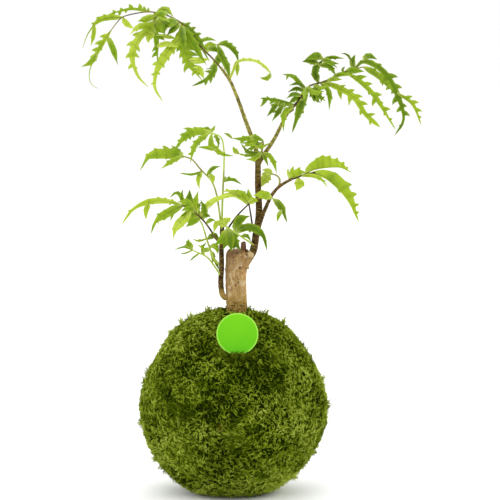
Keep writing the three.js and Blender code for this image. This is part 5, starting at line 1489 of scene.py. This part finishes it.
def scatter(layer, shapes, look, tufts=None):
    name, count, scales, depth, pitches, brightness, seed = layer
    length = strands["length"]
    draw = np.random.default_rng(seed)
    directions = tuftSpots(tufts, count, draw) if tufts else ballSpots(count, draw)
    count = len(directions)
    clump = noiseAt(directions, ball["radius"] / strands["clump"])
    swirls = 4 * math.pi * noiseAt(directions, ball["radius"] / strands["swirl"])
    combed = math.pi / 2 if tufts else swirls  # tufts point up
    east = unit(np.cross((0, 0, 1.0), directions))
    north = np.cross(directions, east)
    angle = (combed + np.radians(draw.normal(0, strands["stray"], count)))[:, None]
    heading = east * np.cos(angle) + north * np.sin(angle)
    pitch = np.radians(draw.uniform(*pitches, count))[:, None]
    xAxis = heading * np.cos(pitch) + directions * np.sin(pitch)
    rise = directions * np.cos(pitch) - heading * np.sin(pitch)
    curl = draw.normal(0, strands["rollSpread"], count) + strands["curlSide"] * draw.choice((-1, 1), count)
    roll = np.radians(curl)[:, None]
    zAxis = rise * np.cos(roll) + np.cross(rise, xAxis) * np.sin(roll)
    axes = np.stack([xAxis, np.cross(zAxis, xAxis), zAxis], axis=1)
    scale = draw.uniform(*scales, count)[:, None]
    sunk = depth + draw.uniform(0, strands["depthSpread"], count) - strands["clumpRise"] * clump
    base = directions * (ballRadius(directions) - sunk)[:, None]
    base -= heading * length * strands["rooted"] * scale
    base[:, 2] += ball["centre"]
    # random brightness, plus painted shade in the clump gaps and painted light and shade patches
    bright = draw.uniform(*brightness, count) + strands["clumpShading"] * clump + paintLightAndShade(directions)
    kind = draw.integers(0, len(shapes), count)
    blocks, faces, tones, total = [], [], [], 0
    for k, (points, triangles) in enumerate(shapes):
        mine = kind == k
        placed = scale[mine, None] * (points @ axes[mine]) + base[mine, None]
        kept = keepClear(placed)
        placed = placed[kept]
        firsts = total + np.arange(len(placed)) * len(points)
        faces.append((triangles[None] + firsts[:, None, None]).reshape(-1, 3))
        blocks.append(placed.reshape(-1, 3))
        # painted shade towards each strand's root
        tipward = strands["rootShading"] + (1 - strands["rootShading"]) * np.clip(points[:, 0] / length, 0, 1)
        tones.append((bright[mine][kept][:, None] * tipward).ravel())
        total += placed.shape[0] * len(points)
    mesh = bpy.data.meshes.new(name)
    mesh.from_pydata((np.vstack(blocks) * mm).tolist(), [], np.vstack(faces).tolist())
    piece = bpy.data.objects.new(name, mesh)
    bpy.context.scene.collection.objects.link(piece)
    setAttribute(piece, "bright", np.concatenate(tones))
    activate(piece)
    bpy.ops.object.shade_smooth()
    finishPiece(piece, look, "moss")


def mossLook():
    look = Look("mossStrands", 1.0, 0.02)
    tints = strands["tints"]
    patches = look.spread(look.noise(28, 3, 0.6), 0.35, 0.65, -0.18, 0.22)
    colour = look.ramp(look.math("ADD", look.attribute("bright"), patches), tints["greens"])
    yellow = look.spread(look.noise(19, 2, 0.5), 0.5, 0.7)
    colour = look.over(colour, yellow, tints["yellow"], 0.35, "SOFT_LIGHT")
    brown = look.spread(look.noise(55, 3, 0.6), 0.64, 0.76)
    return look.finish(look.over(colour, brown, tints["brown"], 0.5))


def makeMoss():
    look = mossLook()
    makeMossShadeBody(look)
    shapes = [takeShape(modelStrand(bends)) for bends in strands["bends"]]
    for layer in strands["layers"]:
        scatter(layer, shapes, look)
    sprigShape = takeShape(modelSprig())
    scatter(strands["sprigs"], [sprigShape], look)
    for layer, tufts in strands["tufts"]:
        scatter(layer, [sprigShape], look, tufts)


# camera, floor and lights

studio = {
    "distance": 4.0,
    "sensor": 36.0,
    "floorSize": 24.0,
    "floorTints": [(0.3, (251, 251, 251)), (0.7, (253, 253, 253))],
    "worldStrength": 1.04,
    "lightAim": (0, 0, 0.2),
    "lights": [  # name, azimuth, elevation, distance, size, power
        ("keyLight", -15, 50, 1.6, 1.2, 7),
        ("leftLight", -105, 20, 1.5, 1.2, 6),
        ("rightLight", 105, 22, 1.5, 1.2, 8),
        ("backLight", 180, 50, 1.8, 1.4, 7),
    ],
}


def makeCamera():
    frameWidth = layout["photoSize"] * layout["mmPerPixel"] * mm
    middle = layout["photoSize"] / 2
    target = place(((middle - layout["ballPixel"]) * layout["mmPerPixel"],
                    (layout["footPixel"] - middle) * layout["mmPerPixel"], 0))
    bpy.ops.object.camera_add(location=Vector(target - viewDir * studio["distance"]))
    camera = bpy.context.object
    camera.rotation_euler = Vector(viewDir).to_track_quat("-Z", "Y").to_euler()
    camera.data.sensor_width = studio["sensor"]
    camera.data.lens = studio["sensor"] * studio["distance"] / frameWidth
    bpy.context.scene.camera = camera


def makeStudio():
    deselectAll()
    bpy.ops.mesh.primitive_plane_add(size=studio["floorSize"])
    floor = bpy.context.object
    floor.name = "floor"
    floorLook = Look("paleFloor", 0.9)
    floor.data.materials.append(floorLook.finish(floorLook.ramp(floorLook.noise(3, 2), studio["floorTints"])))
    world = bpy.data.worlds.new("studioWorld")
    world.use_nodes = True
    background = world.node_tree.nodes["Background"]
    background.inputs["Color"].default_value = (1, 1, 1, 1)
    background.inputs["Strength"].default_value = studio["worldStrength"]
    bpy.context.scene.world = world
    for name, azimuth, elevation, distance, size, power in studio["lights"]:
        turn, lift = math.radians(azimuth), math.radians(elevation)
        away = Vector((math.sin(turn) * math.cos(lift), -math.cos(turn) * math.cos(lift), math.sin(lift)))
        bpy.ops.object.light_add(type="AREA", location=Vector(studio["lightAim"]) + away * distance)
        light = bpy.context.object
        light.name = name
        light.rotation_euler = (-away).to_track_quat("-Z", "Y").to_euler()
        light.data.shape = "DISK"
        light.data.size = size
        light.data.energy = power
    bpy.context.scene.view_settings.view_transform = "Standard"
    print("camera and studio")


makeCamera()
makeStudio()
makeTrunk()
shootBark = shootLook()
for shootName, shoot in shoots.items():
    makeShoot(shootName, shoot, shootBark)
leafMaterial = leafLook()
for seed, (node, frond) in enumerate(fronds.items(), 1):
    makeFrond(node, frond, seed, leafMaterial)
makeTag()
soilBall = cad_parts["soil_ball"]
soilBall.data.materials.clear()
soilBall.data.materials.append(soilLook())
makeMoss()
